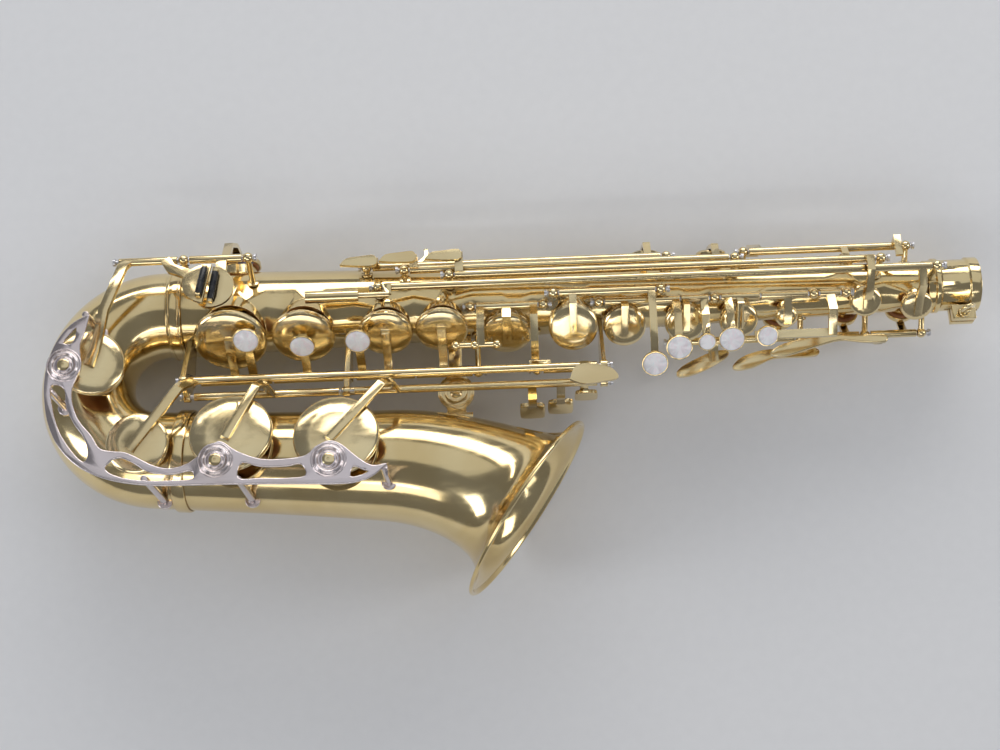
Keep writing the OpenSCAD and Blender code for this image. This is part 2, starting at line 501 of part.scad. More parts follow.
// low C and E flat on the little finger rod of the right hand
c_open = 8;
touch_at = [23, -1];
roller_x = 3.2;
roller_z = 4.4;
function oval(u) = [for (i = [0:14]) let(q = 90 + u * 180 * i / 14) [14.5 * cos(q), 12.8 * sin(q)]];
module touch(u) translate([st(touch_at[0]), touch_at[1], 44]) rotate([0, 0, -9]) {
  translate([-u * 0.5, 0, 0]) linear_extrude(2.2) polygon(oval(u));
  for (v = [-1, 1]) translate([-u * roller_x, v * 9.6, 3.6]) cube([2.6, 1.6, 4], center = true);
  translate([-u * roller_x, 10, roller_z]) rotate([90, 0, 0]) cylinder(r = 0.6, h = 20);
}
module roller(u) translate([st(touch_at[0]), touch_at[1], 44]) rotate([0, 0, -9]) difference() {
  translate([-u * roller_x, 8.6, roller_z]) rotate([90, 0, 0]) cylinder(r = 2.05, h = 17.2);
  translate([-u * roller_x, 11, roller_z]) rotate([90, 0, 0]) cylinder(r = 0.65, h = 22);
}
module low_c_key() color(brass) swung(H_ceb, -c_open) key(H_ceb, -31, 3.3) {
  at_c_hole() cup(c_cup_r);
  lever([-26, H_ceb[0]], 253.8, [[0, H_ceb[1]], [6, 46], [36, 46], [48, 39.4], [57, 36.4], [67, 35.4]], 5.5, 3.4);
  translate([-3, 16.6, 43]) linear_extrude(3) polygon(bar([[0, 0], [4, -6], [16, -11], [20, -12]], 6));
  touch(1);
}
module low_c_pad() color(hide) swung(H_ceb, -c_open) at_c_hole() pad(c_cup_r);
module low_c_roller() color(dark) swung(H_ceb, -c_open) roller(1);
module eb_key() color(brass) key(H_ceb, 10.7, 41.3) {
  at_hole(t_eb) cup(t_eb[2]);
  arm(32, [H_ceb, [lid_of(t_eb, 1.1)[0] - 6, 34], lid_of(t_eb, 1.1) + [0, 20], lid_of(t_eb, 1.1) - [0, 4]], 5);
  arm(30, [H_ceb, [14, 44.8], [6, 44.8]], 6, 2.2);
  touch(-1);
}
module eb_roller() color(dark) roller(-1);

// pearl seat with its pearl on the outer end of an arm, placed in the closed position
module seat(x, p, phi) translate([st(x), p[0], p[1]]) rotate([phi, 0, 0]) children();

// lower stack, standing open
module lower(t, x0, x1) color(brass) swung(H_low, stack_open) key(H_low, x0, x1) {
  at_hole(t) cup(t[2]);
  cup_arm(H_low, t, 1);
  children();
}
module lower_pad(t) color(hide) swung(H_low, stack_open) at_hole(t) pad(t[2]);
function over_lid(t, up, out) = lid_of(t, up) + t_of(t[1]) * out;
p_d = [44.5, 36, 41.5];
p_f = [109, 42, 39.5];
module d_key() lower(t_d, 12, 54.5) {
  arm(p_d[0], [H_low, over_lid(t_d, 3.9, 22.5), (p_d[2] - 0.4) * n_of(p_d[1] - 3)], 5);
  at_pearl(p_d[0], p_d[1], p_d[2]) pearl_seat(pearl_r);
}
module d_pad() lower_pad(t_d);
module d_pearl() color(white) swung(H_low, stack_open) at_pearl(p_d[0], p_d[1], p_d[2]) pearl_top(pearl_r);
module e_key() lower(t_e, 55.5, 97) at_hole(t_e) translate([0, 0, cup_h - 0.3]) {
  cylinder(r = 2, h = 4.5);
  translate([0, 0, 4.2]) pearl_seat(pearl_r);
}
module e_pad() lower_pad(t_e);
module e_pearl() color(white) swung(H_low, stack_open) at_hole(t_e) translate([0, 0, cup_h + 3.9]) pearl_top(pearl_r);
module f_key() lower(t_f, 105, 140) {
  arm(p_f[0], [H_low, over_lid(t_f, 3.9, 17.5), (p_f[2] - 0.4) * n_of(p_f[1] - 3)], 5);
  at_pearl(p_f[0], p_f[1], p_f[2]) pearl_seat(pearl_r);
}
module f_pad() lower_pad(t_f);
module f_pearl() color(white) swung(H_low, stack_open) at_pearl(p_f[0], p_f[1], p_f[2]) pearl_top(pearl_r);
module fs_key() lower(t_fs, 141, 174.5);
module fs_pad() lower_pad(t_fs);

// G sharp: the cup stands closed; a separate lever on the front of the tube works it
module gs_key() color(brass) key(H_up, 178.1, 214.5) {
  at_hole(t_gs) cup(t_gs[2]);
  cup_arm(H_up, t_gs, -1);
  arm(180.6, [H_up, [-30, 36], [-38, 30]], 4.5);
  line([-38, 30], 165, 191, 1.6);
  for (x = [166, 177, 190]) translate([st(x), -38, 30]) sphere(r = 2.7);
  arm(212, [H_up, [-22, 33], [-36, 29], [-43, 18]], 4.5);
}
module gs_lever() color(brass) key(H_low, 216.7, 248) {
  arm(219, [H_low, [-47, 12], [-45, 15]], 4.5);
  translate([st(219) - 10.5, -46.6, 13]) cube([13, 3.4, 2.4]);
  arm(241, [H_low, [-53, -2], [-55, -14]], 5);
  table_plate(242.5, 13.5, [-56.5, -25], 14);
}

// upper stack, standing open; G runs on a rod of its own
module upper(h, t, x0, x1) color(brass) swung(h, -stack_open) key(h, x0, x1) {
  at_hole(t) cup(t[2]);
  cup_arm(h, t, -1, 4.4, 3);
  children();
}
module upper_pad(h, t) color(hide) swung(h, -stack_open) at_hole(t) pad(t[2]);
p_g = [-49, 15.3];
p_a = [-42.6, 20.5];
p_bis = [-39, 19.5];
p_b = [-39, 21.5];
module pearl_arm(h, x, p, phi, mid, r) {
  arm(x, concat([h], mid, [p - 0.9 * n_of(phi)]), 4.4);
  seat(x, p - 1.2 * n_of(phi), phi) pearl_seat(r);
}
module g_key() upper(H_g, t_g, 227.6, 284) pearl_arm(H_g, 281.6, p_g, 58, [[-20, 32], [-38, 24]], pearl_r);
module g_pad() upper_pad(H_g, t_g);
module on_pearl(h, x, p, phi) color(white) swung(h, -stack_open) seat(x, p - 1.2 * n_of(phi), phi) children();
module g_pearl() on_pearl(H_g, 281.6, p_g, 58) pearl_top(pearl_r);
module a_key() upper(H_up, t_a, 254.6, 298.6) pearl_arm(H_up, 296.2, p_a, 58, [[-26, 29]], pearl_r);
module a_pad() upper_pad(H_up, t_a);
module a_pearl() on_pearl(H_up, 296.2, p_a, 58) pearl_top(pearl_r);
module bis_key() upper(H_up, t_bis, 299.4, 315.8) pearl_arm(H_up, 312.8, p_bis, 58, [[-25, 26]], 4.7);
module bis_pearl() on_pearl(H_up, 312.8, p_bis, 58) pearl_top(4.7);
module b_key() upper(H_up, t_b, 323.2, 346) pearl_arm(H_up, 327, p_b, 58, [[-26, 28]], pearl_r);
module b_pad() upper_pad(H_up, t_b);
module b_pearl() on_pearl(H_up, 327, p_b, 58) pearl_top(pearl_r);
module c_key() upper(H_up, t_c, 346.8, 374.3);
module front_f_key() color(brass) key(H_up, 381.6, 393.4) {
  arm(387.5, [H_up, [-24, 29], [-36, 20.4]], 5);
  translate([st(342), -37.4, 18.7]) cube([st(390) - st(342), 5, 2.2]);
  seat(349, [-35, 20.6], 40) pearl_seat(5.6);
}
module front_f_pearl() color(white) seat(349, [-35, 20.6], 40) pearl_top(5.6);

// right hand side keys and the high keys, standing closed on long hinge tubes
module side_touch(h, x, p, drop = 6) {
  arm(x, [h, [p[0] + 1, p[1] - drop], p], 5, 3);
  translate([st(x) - 20, p[0] - 4, p[1] - 1]) linear_extrude(3.2) polygon(spline([[0, 1], [4, 5], [12, 6],
    [20, 6.5], [22, 3], [20, 0], [10, 0], [0, 1]], 3));
}
module side_bb_key() color(brass) key(H_sb, 116.7, 289.4) {
  at_hole(t_sb) cup(t_sb[2]);
  arm(t_sb[0], [H_sb, [27, 18], lid_of(t_sb, 1.1) + [0, 6], lid_of(t_sb, 1.1) - [0, 4]], 4.4);
  side_touch(H_sb, 119, [14.5, 39]);
}
module side_c_key() color(brass) key(H_sc, 139.6, 329.4) {
  at_hole(t_sc) cup(t_sc[2]);
  arm(t_sc[0], [H_sc, [22, 24], lid_of(t_sc, 1.1) + 6 * n_of(15), lid_of(t_sc, 1.1) - 3 * n_of(15)], 4.4);
  side_touch(H_sc, 142, [16.5, 38]);
}
module high_e_key() color(brass) key(H_e, 166.6, 414.4) {
  at_hole(t_he) cup(t_he[2]);
  arm(t_he[0], [H_e, [4, 39.4], [-4, 39.4], [-14, 28], lid_of(t_he, 1.1) - 3 * t_of(41),
    lid_of(t_he, 1.1) + 3 * t_of(41)], 4.4);
  side_touch(H_e, 169, [17, 37.4], 2.6);
}
module high_fs_key() color(brass) key(H_fs, 124.6, 446.4) {
  at_hole(t_hfs) cup(t_hfs[2]);
  arm(t_hfs[0], [H_fs, [-12, 32], lid_of(t_hfs, 1.1) - 8 * t_of(54), lid_of(t_hfs, 1.1) + 3 * t_of(54)], 4.4);
  arm(127, [H_fs, [-3, 40], [-8, 40]], 4.4);
  line([-8, 40], 79, 110, 3.6);
  line([-8, 40], 109, 128, 1.8);
}

// left hand palm keys, standing closed
module palm_key(t, x0, x1) color(brass) key(H_palm, x0, x1) {
  at_hole(t) cup(t[2]);
  arm(t[0], [H_palm, lid_of(t, 1.1) - t_of(t[1]) * (t[2] + 1.2), lid_of(t, 1.1) + t_of(t[1]) * 3], 4.4);
  children();
}
// leaf-shaped touch lying flat at height z, its outline measured along x from station x
module leaf(x, z, outline) translate([st(x), 0, z]) linear_extrude(2.6) polygon(loop_spline(outline, 4));
module palm_d_key() palm_key(t_pd, 300.6, 371.9) {
  arm(322, [H_palm, [-30, -19.5], [-36, -20.2]], 6);
  leaf(322, -21.5, [[8, -29.5], [9, -33], [0, -39], [-12, -44], [-21, -45.5], [-23.5, -43], [-19, -38.5], [-9, -33.5],
    [0, -30]]);
}
module palm_eb_key() palm_key(t_pe, 379.1, 411.4) {
  arm(382, [H_palm, [-30, -18.4], [-34.5, -18.8]], 5);
  leaf(382, -20, [[3, -31], [3, -35.5], [-12, -36], [-24, -36.5], [-36, -41.5], [-46, -43], [-49, -40.5], [-43, -35],
    [-33, -31.5], [-24, -30.5], [-10, -31]]);
}
module palm_f_key() palm_key(t_pf, 418.6, 446.4) {
  arm(421, [H_palm, [-31, -11], [-31.6, -3.2]], 5);
  leaf(421, -4.6, [[3, -29], [3, -34], [-11, -33.5], [-25, -32], [-41, -36], [-55, -40], [-64, -40.5], [-67, -38],
    [-61, -33.5], [-49, -30], [-37, -27.5], [-23, -27], [-10, -28.5]]);
}
module octave_key() color(brass) key(H_oct, 343.6, 434) {
  at_hole(t_oct) cup(t_oct[2]);
  arm(t_oct[0], [H_oct, lid_of(t_oct, 0.9) - 5.2 * t_of(-30), lid_of(t_oct, 0.9) + 2 * t_of(-30)], 4, 2.4);
  arm(348, [H_oct, [27, 8], [26, -2]], 8, 2.6);
  arm(431, [H_oct, [22, 25], [10, 26]], 4, 2.4);
}

at_rest() {
  body_tube();
  bow();
  bell();
  ferrules();
  neck_receiver();
  bell_brace();
  key_guard();
  guard_bumpers();
  posts();
  hinge_rods();
  springs();
  thumb_hook();
  thumb_rest();
  strap_ring();
  neck_screw();
  low_bb_key();
  low_bb_pad();
  low_b_key();
  low_b_pad();
  low_cs_key();
  low_c_key();
  low_c_pad();
  low_c_roller();
  eb_key();
  eb_roller();
  d_key();
  d_pad();
  d_pearl();
  e_key();
  e_pad();
  e_pearl();
  f_key();
  f_pad();
  f_pearl();
  fs_key();
  fs_pad();
  gs_key();
  gs_lever();
  g_key();
  g_pad();
  g_pearl();
  a_key();
  a_pad();
  a_pearl();
  bis_key();
  bis_pearl();
  b_key();
  b_pad();
  b_pearl();
  c_key();
  front_f_key();
  front_f_pearl();
  side_bb_key();
  side_c_key();
  high_e_key();
  high_fs_key();
  palm_d_key();
  palm_eb_key();
  palm_f_key();
  octave_key();
}
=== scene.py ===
"""Looks of an alto saxophone body lying on its side.

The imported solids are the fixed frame. This script dresses them: a smooth lacquered bell and bow,
softened edges on the keywork, leather pads with their resonators, pearls, rollers, felt bumpers,
slotted screws and beads, on a pale floor under soft light.
"""

from __future__ import annotations

import json
import logging
import math
from dataclasses import dataclass, field
from enum import Enum
from typing import Callable, Iterable, Optional, Sequence, Union

import bmesh
import bpy
from mathutils import Matrix, Vector
from mathutils.bvhtree import BVHTree
from mathutils.kdtree import KDTree

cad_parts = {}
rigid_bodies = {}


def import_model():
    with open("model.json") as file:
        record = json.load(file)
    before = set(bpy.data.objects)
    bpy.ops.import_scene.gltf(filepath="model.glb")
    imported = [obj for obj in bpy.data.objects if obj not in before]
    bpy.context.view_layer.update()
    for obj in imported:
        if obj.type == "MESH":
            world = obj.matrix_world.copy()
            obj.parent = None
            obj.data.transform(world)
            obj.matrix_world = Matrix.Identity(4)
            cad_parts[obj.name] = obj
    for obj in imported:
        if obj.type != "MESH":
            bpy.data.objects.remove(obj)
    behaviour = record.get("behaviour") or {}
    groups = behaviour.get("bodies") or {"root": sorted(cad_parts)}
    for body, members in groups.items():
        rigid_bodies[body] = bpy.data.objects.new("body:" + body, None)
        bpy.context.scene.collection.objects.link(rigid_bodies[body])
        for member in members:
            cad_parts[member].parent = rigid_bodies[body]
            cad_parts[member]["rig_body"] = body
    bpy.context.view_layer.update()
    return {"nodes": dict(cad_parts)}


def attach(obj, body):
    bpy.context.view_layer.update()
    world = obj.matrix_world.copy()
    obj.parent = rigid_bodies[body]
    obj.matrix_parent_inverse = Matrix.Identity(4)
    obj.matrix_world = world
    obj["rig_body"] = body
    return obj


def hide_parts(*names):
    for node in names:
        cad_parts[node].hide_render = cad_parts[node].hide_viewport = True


LOG = logging.getLogger("saxophone")
BEVEL_MARK = "bevel_weight_edge"
FACING = "facing"
MM = 0.001  # in metres
WELD = 1e-7  # metres between points that count as one
TINY = 1e-9  # lengths that count as nothing
FAR_OFF = 1.0  # metres, farther than any face reaches
SHARP_EDGE = 38.0  # degrees past which an edge stays sharp
FINE_RELIEF = 0.0001  # metres of relief on the smooth finishes
CUP_LIP = 3.2  # mm from a cup's edge to its tone hole
Colour = tuple[float, float, float]
Place = tuple[float, float, float]
Pair = tuple[float, float]


class Slot(Enum):
    """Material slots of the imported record."""

    BRASS = "lacquered_brass"
    STEEL = "steel"
    LEATHER = "pad_leather"
    PEARL = "pearl"
    BLACK = "black_plastic"
    FELT = "felt"


class Hinge(Enum):
    """Hinge lines of the keys, each the y and z of a line along the tube, in mm."""

    LOW = (-46.0, 5.0)
    UP = (-12.0, 25.0)
    G = (-7.5, 31.0)
    F_SHARP = (-1.0, 34.5)
    HIGH_E = (6.0, 32.5)
    SIDE_C = (12.0, 28.0)
    SIDE_B = (17.0, 22.5)
    LITTLE = (18.0, 42.0)
    C_SHARP = (-52.0, 26.0)
    LOW_B = (-58.0, 14.0)
    LOW_B_FLAT = (-60.0, 20.0)
    OCTAVE = (20.0, 17.0)
    PALM = (-24.0, -16.0)


def turned(degrees: float, axis: str) -> Matrix:
    """A turn about one axis."""
    return Matrix.Rotation(math.radians(degrees), 4, axis)


@dataclass(frozen=True)
class RestPose:
    """How the instrument lies on the floor: roll about the tube, pitch along it, then a shift in mm."""

    roll: float = 13.449
    pitch: float = 0.438
    shift: Place = (-198.41, 67.01, 27.435)

    def matrix(self) -> Matrix:
        """Turns instrument millimetres into the frame's metres."""
        shift = Matrix.Translation(Vector(self.shift) * MM)
        return shift @ turned(-self.pitch, "Y") @ turned(-self.roll, "X") @ Matrix.Scale(MM, 4)


POSE = RestPose()


# Node trees and shader maths


class Wires:
    """A node tree, written as calls."""

    def __init__(self, tree: bpy.types.NodeTree) -> None:
        """Takes the tree to write in."""
        self.tree = tree

    def source(self, value: object) -> Optional[bpy.types.NodeSocket]:
        """The socket that a value stands for, or none for a plain value."""
        return value if isinstance(value, bpy.types.NodeSocket) else None

    def node(self, kind: str, settings: Optional[dict] = None,
             inputs: Optional[dict] = None) -> bpy.types.Node:
        """Adds any node.

        Args:
            kind: the node's type.
            settings: attributes to set first.
            inputs: plain values or sources, by socket name or index.

        Returns:
            The node.
        """
        made = self.tree.nodes.new(kind)
        for key, value in (settings or {}).items():
            setattr(made, key, value)
        for key, value in (inputs or {}).items():
            socket = self.source(value)
            if socket is None:
                made.inputs[key].default_value = value
            else:
                self.tree.links.new(socket, made.inputs[key])
        return made


class Field:
    """A shader value. Arithmetic on it adds Math nodes to its graph."""

    def __init__(self, graph: Graph, socket: bpy.types.NodeSocket) -> None:
        """Wraps one output socket of a graph."""
        self.graph = graph
        self.socket = socket

    def _math(self, operation: str, left: Value, right: Value) -> Field:
        """Adds one Math node.

        Args:
            operation: the node's operation.
            left: first operand.
            right: second operand.

        Returns:
            The node's result.
        """
        node = self.graph.node("ShaderNodeMath", {"operation": operation}, {0: left, 1: right})
        return Field(self.graph, node.outputs[0])

    def __add__(self, other: Value) -> Field:
        """Sum."""
        return self._math("ADD", self, other)

    def __radd__(self, other: Value) -> Field:
        """Sum with a number on the left."""
        return self._math("ADD", other, self)

    def __sub__(self, other: Value) -> Field:
        """Difference."""
        return self._math("SUBTRACT", self, other)

    def __rsub__(self, other: Value) -> Field:
        """Difference from a number on the left."""
        return self._math("SUBTRACT", other, self)

    def __mul__(self, other: Value) -> Field:
        """Product."""
        return self._math("MULTIPLY", self, other)

    def __rmul__(self, other: Value) -> Field:
        """Product with a number on the left."""
        return self._math("MULTIPLY", other, self)

    def __pow__(self, other: Value) -> Field:
        """Power."""
        return self._math("POWER", self, other)

    def over(self, edge: float, soft: float) -> Field:
        """A mask that rises from 0 to 1 across an edge.

        Args:
            edge: value at which the mask is half.
            soft: half width of the rise.

        Returns:
            The mask.
        """
        limits = {"From Min": edge - soft, "From Max": edge + soft, "Value": self}
        node = self.graph.node("ShaderNodeMapRange", {"interpolation_type": "SMOOTHSTEP"}, limits)
        return Field(self.graph, node.outputs[0])


Value = Union[float, Field]


class Graph(Wires):
    """A material's node tree."""

    def __init__(self, name: str) -> None:
        """Starts an empty material.

        Args:
            name: the material's name.
        """
        self.material = bpy.data.materials.new(name)
        self.material.use_nodes = True
        super().__init__(self.material.node_tree)
        self.tree.nodes.clear()

    def source(self, value: object) -> Optional[bpy.types.NodeSocket]:
        """The socket of a field, or the value itself if it is a socket."""
        return value.socket if isinstance(value, Field) else super().source(value)

    def place(self, stretch: Sequence[float] = (1.0, 1.0, 1.0)) -> bpy.types.NodeSocket:
        """Object coordinates in metres, stretched per axis.

        Args:
            stretch: factor along each axis.

        Returns:
            The vector socket.
        """
        coords = self.node("ShaderNodeTexCoord").outputs["Object"]
        return self.node("ShaderNodeMapping", None, {"Vector": coords, "Scale": stretch}).outputs[0]

    def noise(self, scale: float, detail: float = 2.0, stretch: Sequence[float] = (1.0, 1.0, 1.0),
              bend: float = 0.0) -> Field:
        """Noise on the object's own coordinates.

        Args:
            scale: cells per metre.
            detail: octaves.
            stretch: factor along each axis.
            bend: how far the noise distorts itself.

        Returns:
            The noise between 0 and 1.
        """
        inputs = {"Vector": self.place(stretch), "Scale": scale, "Detail": detail, "Distortion": bend}
        return Field(self, self.node("ShaderNodeTexNoise", None, inputs).outputs[0])

    def mix(self, factor: Value, low: object, high: object) -> bpy.types.NodeSocket:
        """Blends two colours.

        Args:
            factor: 0 gives low and 1 gives high.
            low: colour or colour socket.
            high: colour or colour socket.

        Returns:
            The blended colour.
        """
        ends = [c if isinstance(c, bpy.types.NodeSocket) else (*c, 1.0) for c in (low, high)]
        node = self.node("ShaderNodeMix", {"data_type": "RGBA"}, {0: factor, 6: ends[0], 7: ends[1]})
        return node.outputs[2]

    def shade(self, distance: float) -> Field:
        """How open a point is to its surroundings, 0 in a crevice and 1 in the open."""
        node = self.node("ShaderNodeAmbientOcclusion", {"samples": 6}, {"Distance": distance})
        return Field(self, node.outputs["AO"])

    def bump(self, height: Field, strength: float, depth: float) -> bpy.types.NodeSocket:
        """Turns a height into a normal.

        Args:
            height: the height field.
            strength: share of the effect.
            depth: depth in metres.

        Returns:
            The normal socket.
        """
        inputs = {"Height": height, "Strength": strength, "Distance": depth}
        return self.node("ShaderNodeBump", None, inputs).outputs[0]

    def finish(self, **sockets: object) -> bpy.types.Material:
        """Closes the graph with a Principled shader.

        Args:
            sockets: values or links by socket name, with _ for a space.

        Returns:
            The material.
        """
        inputs = {key.replace("_", " "): value for key, value in sockets.items()}
        shader = self.node("ShaderNodeBsdfPrincipled", None, inputs)
        self.node("ShaderNodeOutputMaterial", None, {"Surface": shader.outputs[0]})
        return self.material


# Finishes


@dataclass(frozen=True)
class Lacquer:
    """Polished brass under clear lacquer, with faint clouding, wiped streaks, and crevices darkened toward
    a grime colour by ambient occlusion, partly grime and partly painted shade.
    """

    name: str
    bright: Colour
    deep: Colour
    # darkest colour of crevices and gaps between parts: partly grime, partly painted shade
    crevice_grime_and_shade: Colour = (0.20, 0.10, 0.025)
    roughness: float = 0.13
    crevice: float = 0.007

    def material(self) -> bpy.types.Material:
        """Builds the material.

        Returns:
            The material.
        """
        graph = Graph(self.name)
        cloud = graph.noise(scale=22.0, detail=3.0, bend=0.6).over(edge=0.5, soft=0.22)
        streak = graph.noise(scale=300.0, detail=3.0, stretch=(0.05, 1.0, 1.0)).over(edge=0.58, soft=0.16)
        speck = graph.noise(scale=1400.0, detail=2.0)
        # painted shade: open_share is ambient occlusion, and crevices and the gaps between parts blend
        # toward the grime colour, partly grime and partly shade painted into the colour
        open_share = graph.shade(self.crevice) ** 0.7
        tone = graph.mix(cloud, self.deep, self.bright)
        colour = graph.mix(open_share, self.crevice_grime_and_shade, tone)
        rough = self.roughness + 0.05 * cloud + 0.07 * streak + 0.12 * (1.0 - open_share)
        normal = graph.bump(speck + 0.6 * streak, strength=0.05, depth=FINE_RELIEF)
        return graph.finish(Base_Color=colour, Metallic=1.0, Roughness=rough, Normal=normal,
                            Coat_Weight=0.25, Coat_Roughness=0.05)


@dataclass(frozen=True)
class Steel:
    """Ground or blued steel."""

    name: str
    bright: Colour
    deep: Colour
    roughness: float = 0.24

    def material(self) -> bpy.types.Material:
        """Builds the material.

        Returns:
            The material.
        """
        graph = Graph(self.name)
        grind = graph.noise(scale=900.0, detail=3.0, stretch=(0.08, 1.0, 1.0))
        patch = graph.noise(scale=90.0, detail=2.0).over(edge=0.5, soft=0.2)
        tone = graph.mix(patch, self.deep, self.bright)
        return graph.finish(Base_Color=tone, Metallic=1.0, Roughness=self.roughness + 0.12 * grind,
                            Normal=graph.bump(grind, strength=0.06, depth=FINE_RELIEF))


@dataclass(frozen=True)
class KidLeather:
    """Tan kid leather over felt, as pads have, creased finely."""

    name: str
    light: Colour = (0.50, 0.25, 0.12)
    dark: Colour = (0.26, 0.10, 0.045)

    def material(self) -> bpy.types.Material:
        """Builds the material.

        Returns:
            The material.
        """
        graph = Graph(self.name)
        patch = graph.noise(scale=120.0, detail=4.0, bend=0.5).over(edge=0.5, soft=0.25)
        cells = graph.node("ShaderNodeTexVoronoi", {"feature": "DISTANCE_TO_EDGE"},
                           {"Vector": graph.place(), "Scale": 1500.0})
        grain = Field(graph, cells.outputs[0]).over(edge=0.12, soft=0.1)
        colour = graph.mix(patch * (0.6 + 0.4 * grain), self.dark, self.light)
        return graph.finish(Base_Color=colour, Roughness=0.52 + 0.2 * (1.0 - grain),
                            Normal=graph.bump(grain, strength=0.25, depth=0.0002), Specular_IOR_Level=0.4)


@dataclass(frozen=True)
class MotherOfPearl:
    """White pearl with drifting pale pink and green bands."""

    name: str
    white: Colour = (0.89, 0.89, 0.92)
    rose: Colour = (0.87, 0.80, 0.85)
    sea: Colour = (0.79, 0.87, 0.90)

    def material(self) -> bpy.types.Material:
        """Builds the material.

        Returns:
            The material.
        """
        graph = Graph(self.name)
        drift = graph.noise(scale=170.0, detail=3.0, stretch=(1.0, 0.35, 1.0), bend=1.6)
        bands = graph.noise(scale=420.0, detail=2.0, stretch=(1.0, 0.2, 1.0), bend=2.2)
        tint = graph.mix(drift.over(edge=0.52, soft=0.1), self.white, self.rose)
        colour = graph.mix(bands.over(edge=0.62, soft=0.1) * 0.7, tint, self.sea)
        return graph.finish(Base_Color=colour, Roughness=0.16 + 0.1 * bands, Coat_Weight=0.6,
                            Coat_Roughness=0.04,
                            Normal=graph.bump(bands, strength=0.04, depth=FINE_RELIEF))


@dataclass(frozen=True)
class BlackResin:
    """Black moulded resin, polished by fingers."""

    name: str
    base: Colour = (0.012, 0.012, 0.015)
    worn: Colour = (0.035, 0.034, 0.036)

    def material(self) -> bpy.types.Material:
        """Builds the material.

        Returns:
            The material.
        """
        graph = Graph(self.name)
        rub = graph.noise(scale=160.0, detail=4.0, bend=0.4).over(edge=0.55, soft=0.2)
        colour, rough = graph.mix(rub, self.base, self.worn), 0.2 + 0.18 * rub
        grain = graph.noise(scale=2200.0, detail=2.0)
        return graph.finish(Base_Color=colour, Roughness=rough,
                            Normal=graph.bump(grain, strength=0.05, depth=FINE_RELIEF))


@dataclass(frozen=True)
class Felt:
    """Pressed wool felt."""

    name: str
    light: Colour = (0.36, 0.15, 0.09)
    dark: Colour = (0.17, 0.06, 0.035)

    def material(self) -> bpy.types.Material:
        """Builds the material.

        Returns:
            The material.
        """
        graph = Graph(self.name)
        fibre = graph.noise(scale=2600.0, detail=4.0, bend=1.0)
        colour = graph.mix(fibre.over(edge=0.5, soft=0.2), self.dark, self.light)
        return graph.finish(Base_Color=colour, Roughness=0.95, Sheen_Weight=0.35,
                            Normal=graph.bump(fibre, strength=0.6, depth=0.0004))


@dataclass(frozen=True)
class PaleFloor:
    """Pale seamless floor with a barely seen grain."""

    name: str
    light: Colour = (0.80, 0.81, 0.83)
    dark: Colour = (0.76, 0.77, 0.79)

    def material(self) -> bpy.types.Material:
        """Builds the material.

        Returns:
            The material.
        """
        graph = Graph(self.name)
        grain = graph.noise(scale=140.0, detail=4.0)
        return graph.finish(Base_Color=graph.mix(grain, self.dark, self.light), Roughness=0.9,
                            Specular_IOR_Level=0.15)


def kept(make: Callable[[], bpy.types.Material]) -> bpy.types.Material:
    """A field that a call fills when the finishes are made."""
    return field(default_factory=make)


@dataclass
class Finishes:
    """Every material of the part and its floor, made once."""

    shell: bpy.types.Material = kept(Lacquer(
        "gold_lacquer_shell", (0.90, 0.73, 0.40), (0.80, 0.61, 0.29), roughness=0.09).material)
    keys: bpy.types.Material = kept(Lacquer(
        "gold_lacquer_keys", (0.93, 0.78, 0.46), (0.84, 0.66, 0.35), crevice=0.004).material)
    # guard colours: partly its own pale metal, partly painted reflection, since the lavender tint stands
    # in for the ceiling the flat plate reflects; the third colour is crevice grime and painted shade
    guard: bpy.types.Material = kept(Lacquer(
        "pale_guard_painted_lavender_reflection", (0.82, 0.74, 0.75), (0.75, 0.66, 0.64), (0.30, 0.22, 0.16),
        roughness=0.15, crevice=0.003).material)
    steel: bpy.types.Material = kept(Steel(
        "ground_steel", (0.72, 0.72, 0.74), (0.60, 0.60, 0.63)).material)
    spring: bpy.types.Material = kept(Steel(
        "blued_spring_steel", (0.10, 0.14, 0.30), (0.05, 0.06, 0.12), roughness=0.3).material)
    leather: bpy.types.Material = kept(KidLeather("pad_kid_leather").material)
    pearl: bpy.types.Material = kept(MotherOfPearl("finger_pearl").material)
    black: bpy.types.Material = kept(BlackResin("black_resin").material)
    felt: bpy.types.Material = kept(Felt("bumper_felt").material)
    floor: bpy.types.Material = kept(PaleFloor("pale_floor").material)


# Mesh building


def put(name: str, data: bpy.types.ID) -> bpy.types.Object:
    """Sets a mesh, lamp or camera in the scene.

    Args:
        name: the object's name.
        data: what the object shows.

    Returns:
        The object, at the origin.
    """
    made = bpy.data.objects.new(name, data)
    bpy.context.scene.collection.objects.link(made)
    return made


@dataclass
class Shape:
    """Points in millimetres and faces, with a material number for each face."""

    points: list[Vector] = field(default_factory=list)
    faces: list[tuple[int, ...]] = field(default_factory=list)
    slots: list[int] = field(default_factory=list)

    def add(self, other: Shape, turn: Optional[Matrix] = None) -> Shape:
        """Takes in another shape.

        Args:
            other: the shape to add.
            turn: its place, or none to leave it.

        Returns:
            This shape.
        """
        start = len(self.points)
        self.points += [turn @ p if turn else p.copy() for p in other.points]
        self.faces += [tuple(i + start for i in f) for f in other.faces]
        self.slots += other.slots
        return self

    def piece(self, name: str, materials: Sequence[bpy.types.Material],
              sharp: float = SHARP_EDGE) -> bpy.types.Object:
        """Makes a scene object of the shape at rest.

        Args:
            name: the object's name.
            materials: its material slots.
            sharp: edges steeper than this many degrees stay sharp.

        Returns:
            The object, at the origin.
        """
        mesh = bpy.data.meshes.new(name)
        mesh.from_pydata([POSE.matrix() @ p for p in self.points], [], self.faces)
        for material in materials:
            mesh.materials.append(material)
        mesh.polygons.foreach_set("material_index", self.slots)
        body = bmesh.new()
        body.from_mesh(mesh)
        bmesh.ops.remove_doubles(body, verts=body.verts, dist=WELD)
        bmesh.ops.recalc_face_normals(body, faces=body.faces)
        body.to_mesh(mesh)
        body.free()
        soften(mesh, sharp)
        return put(name, mesh)


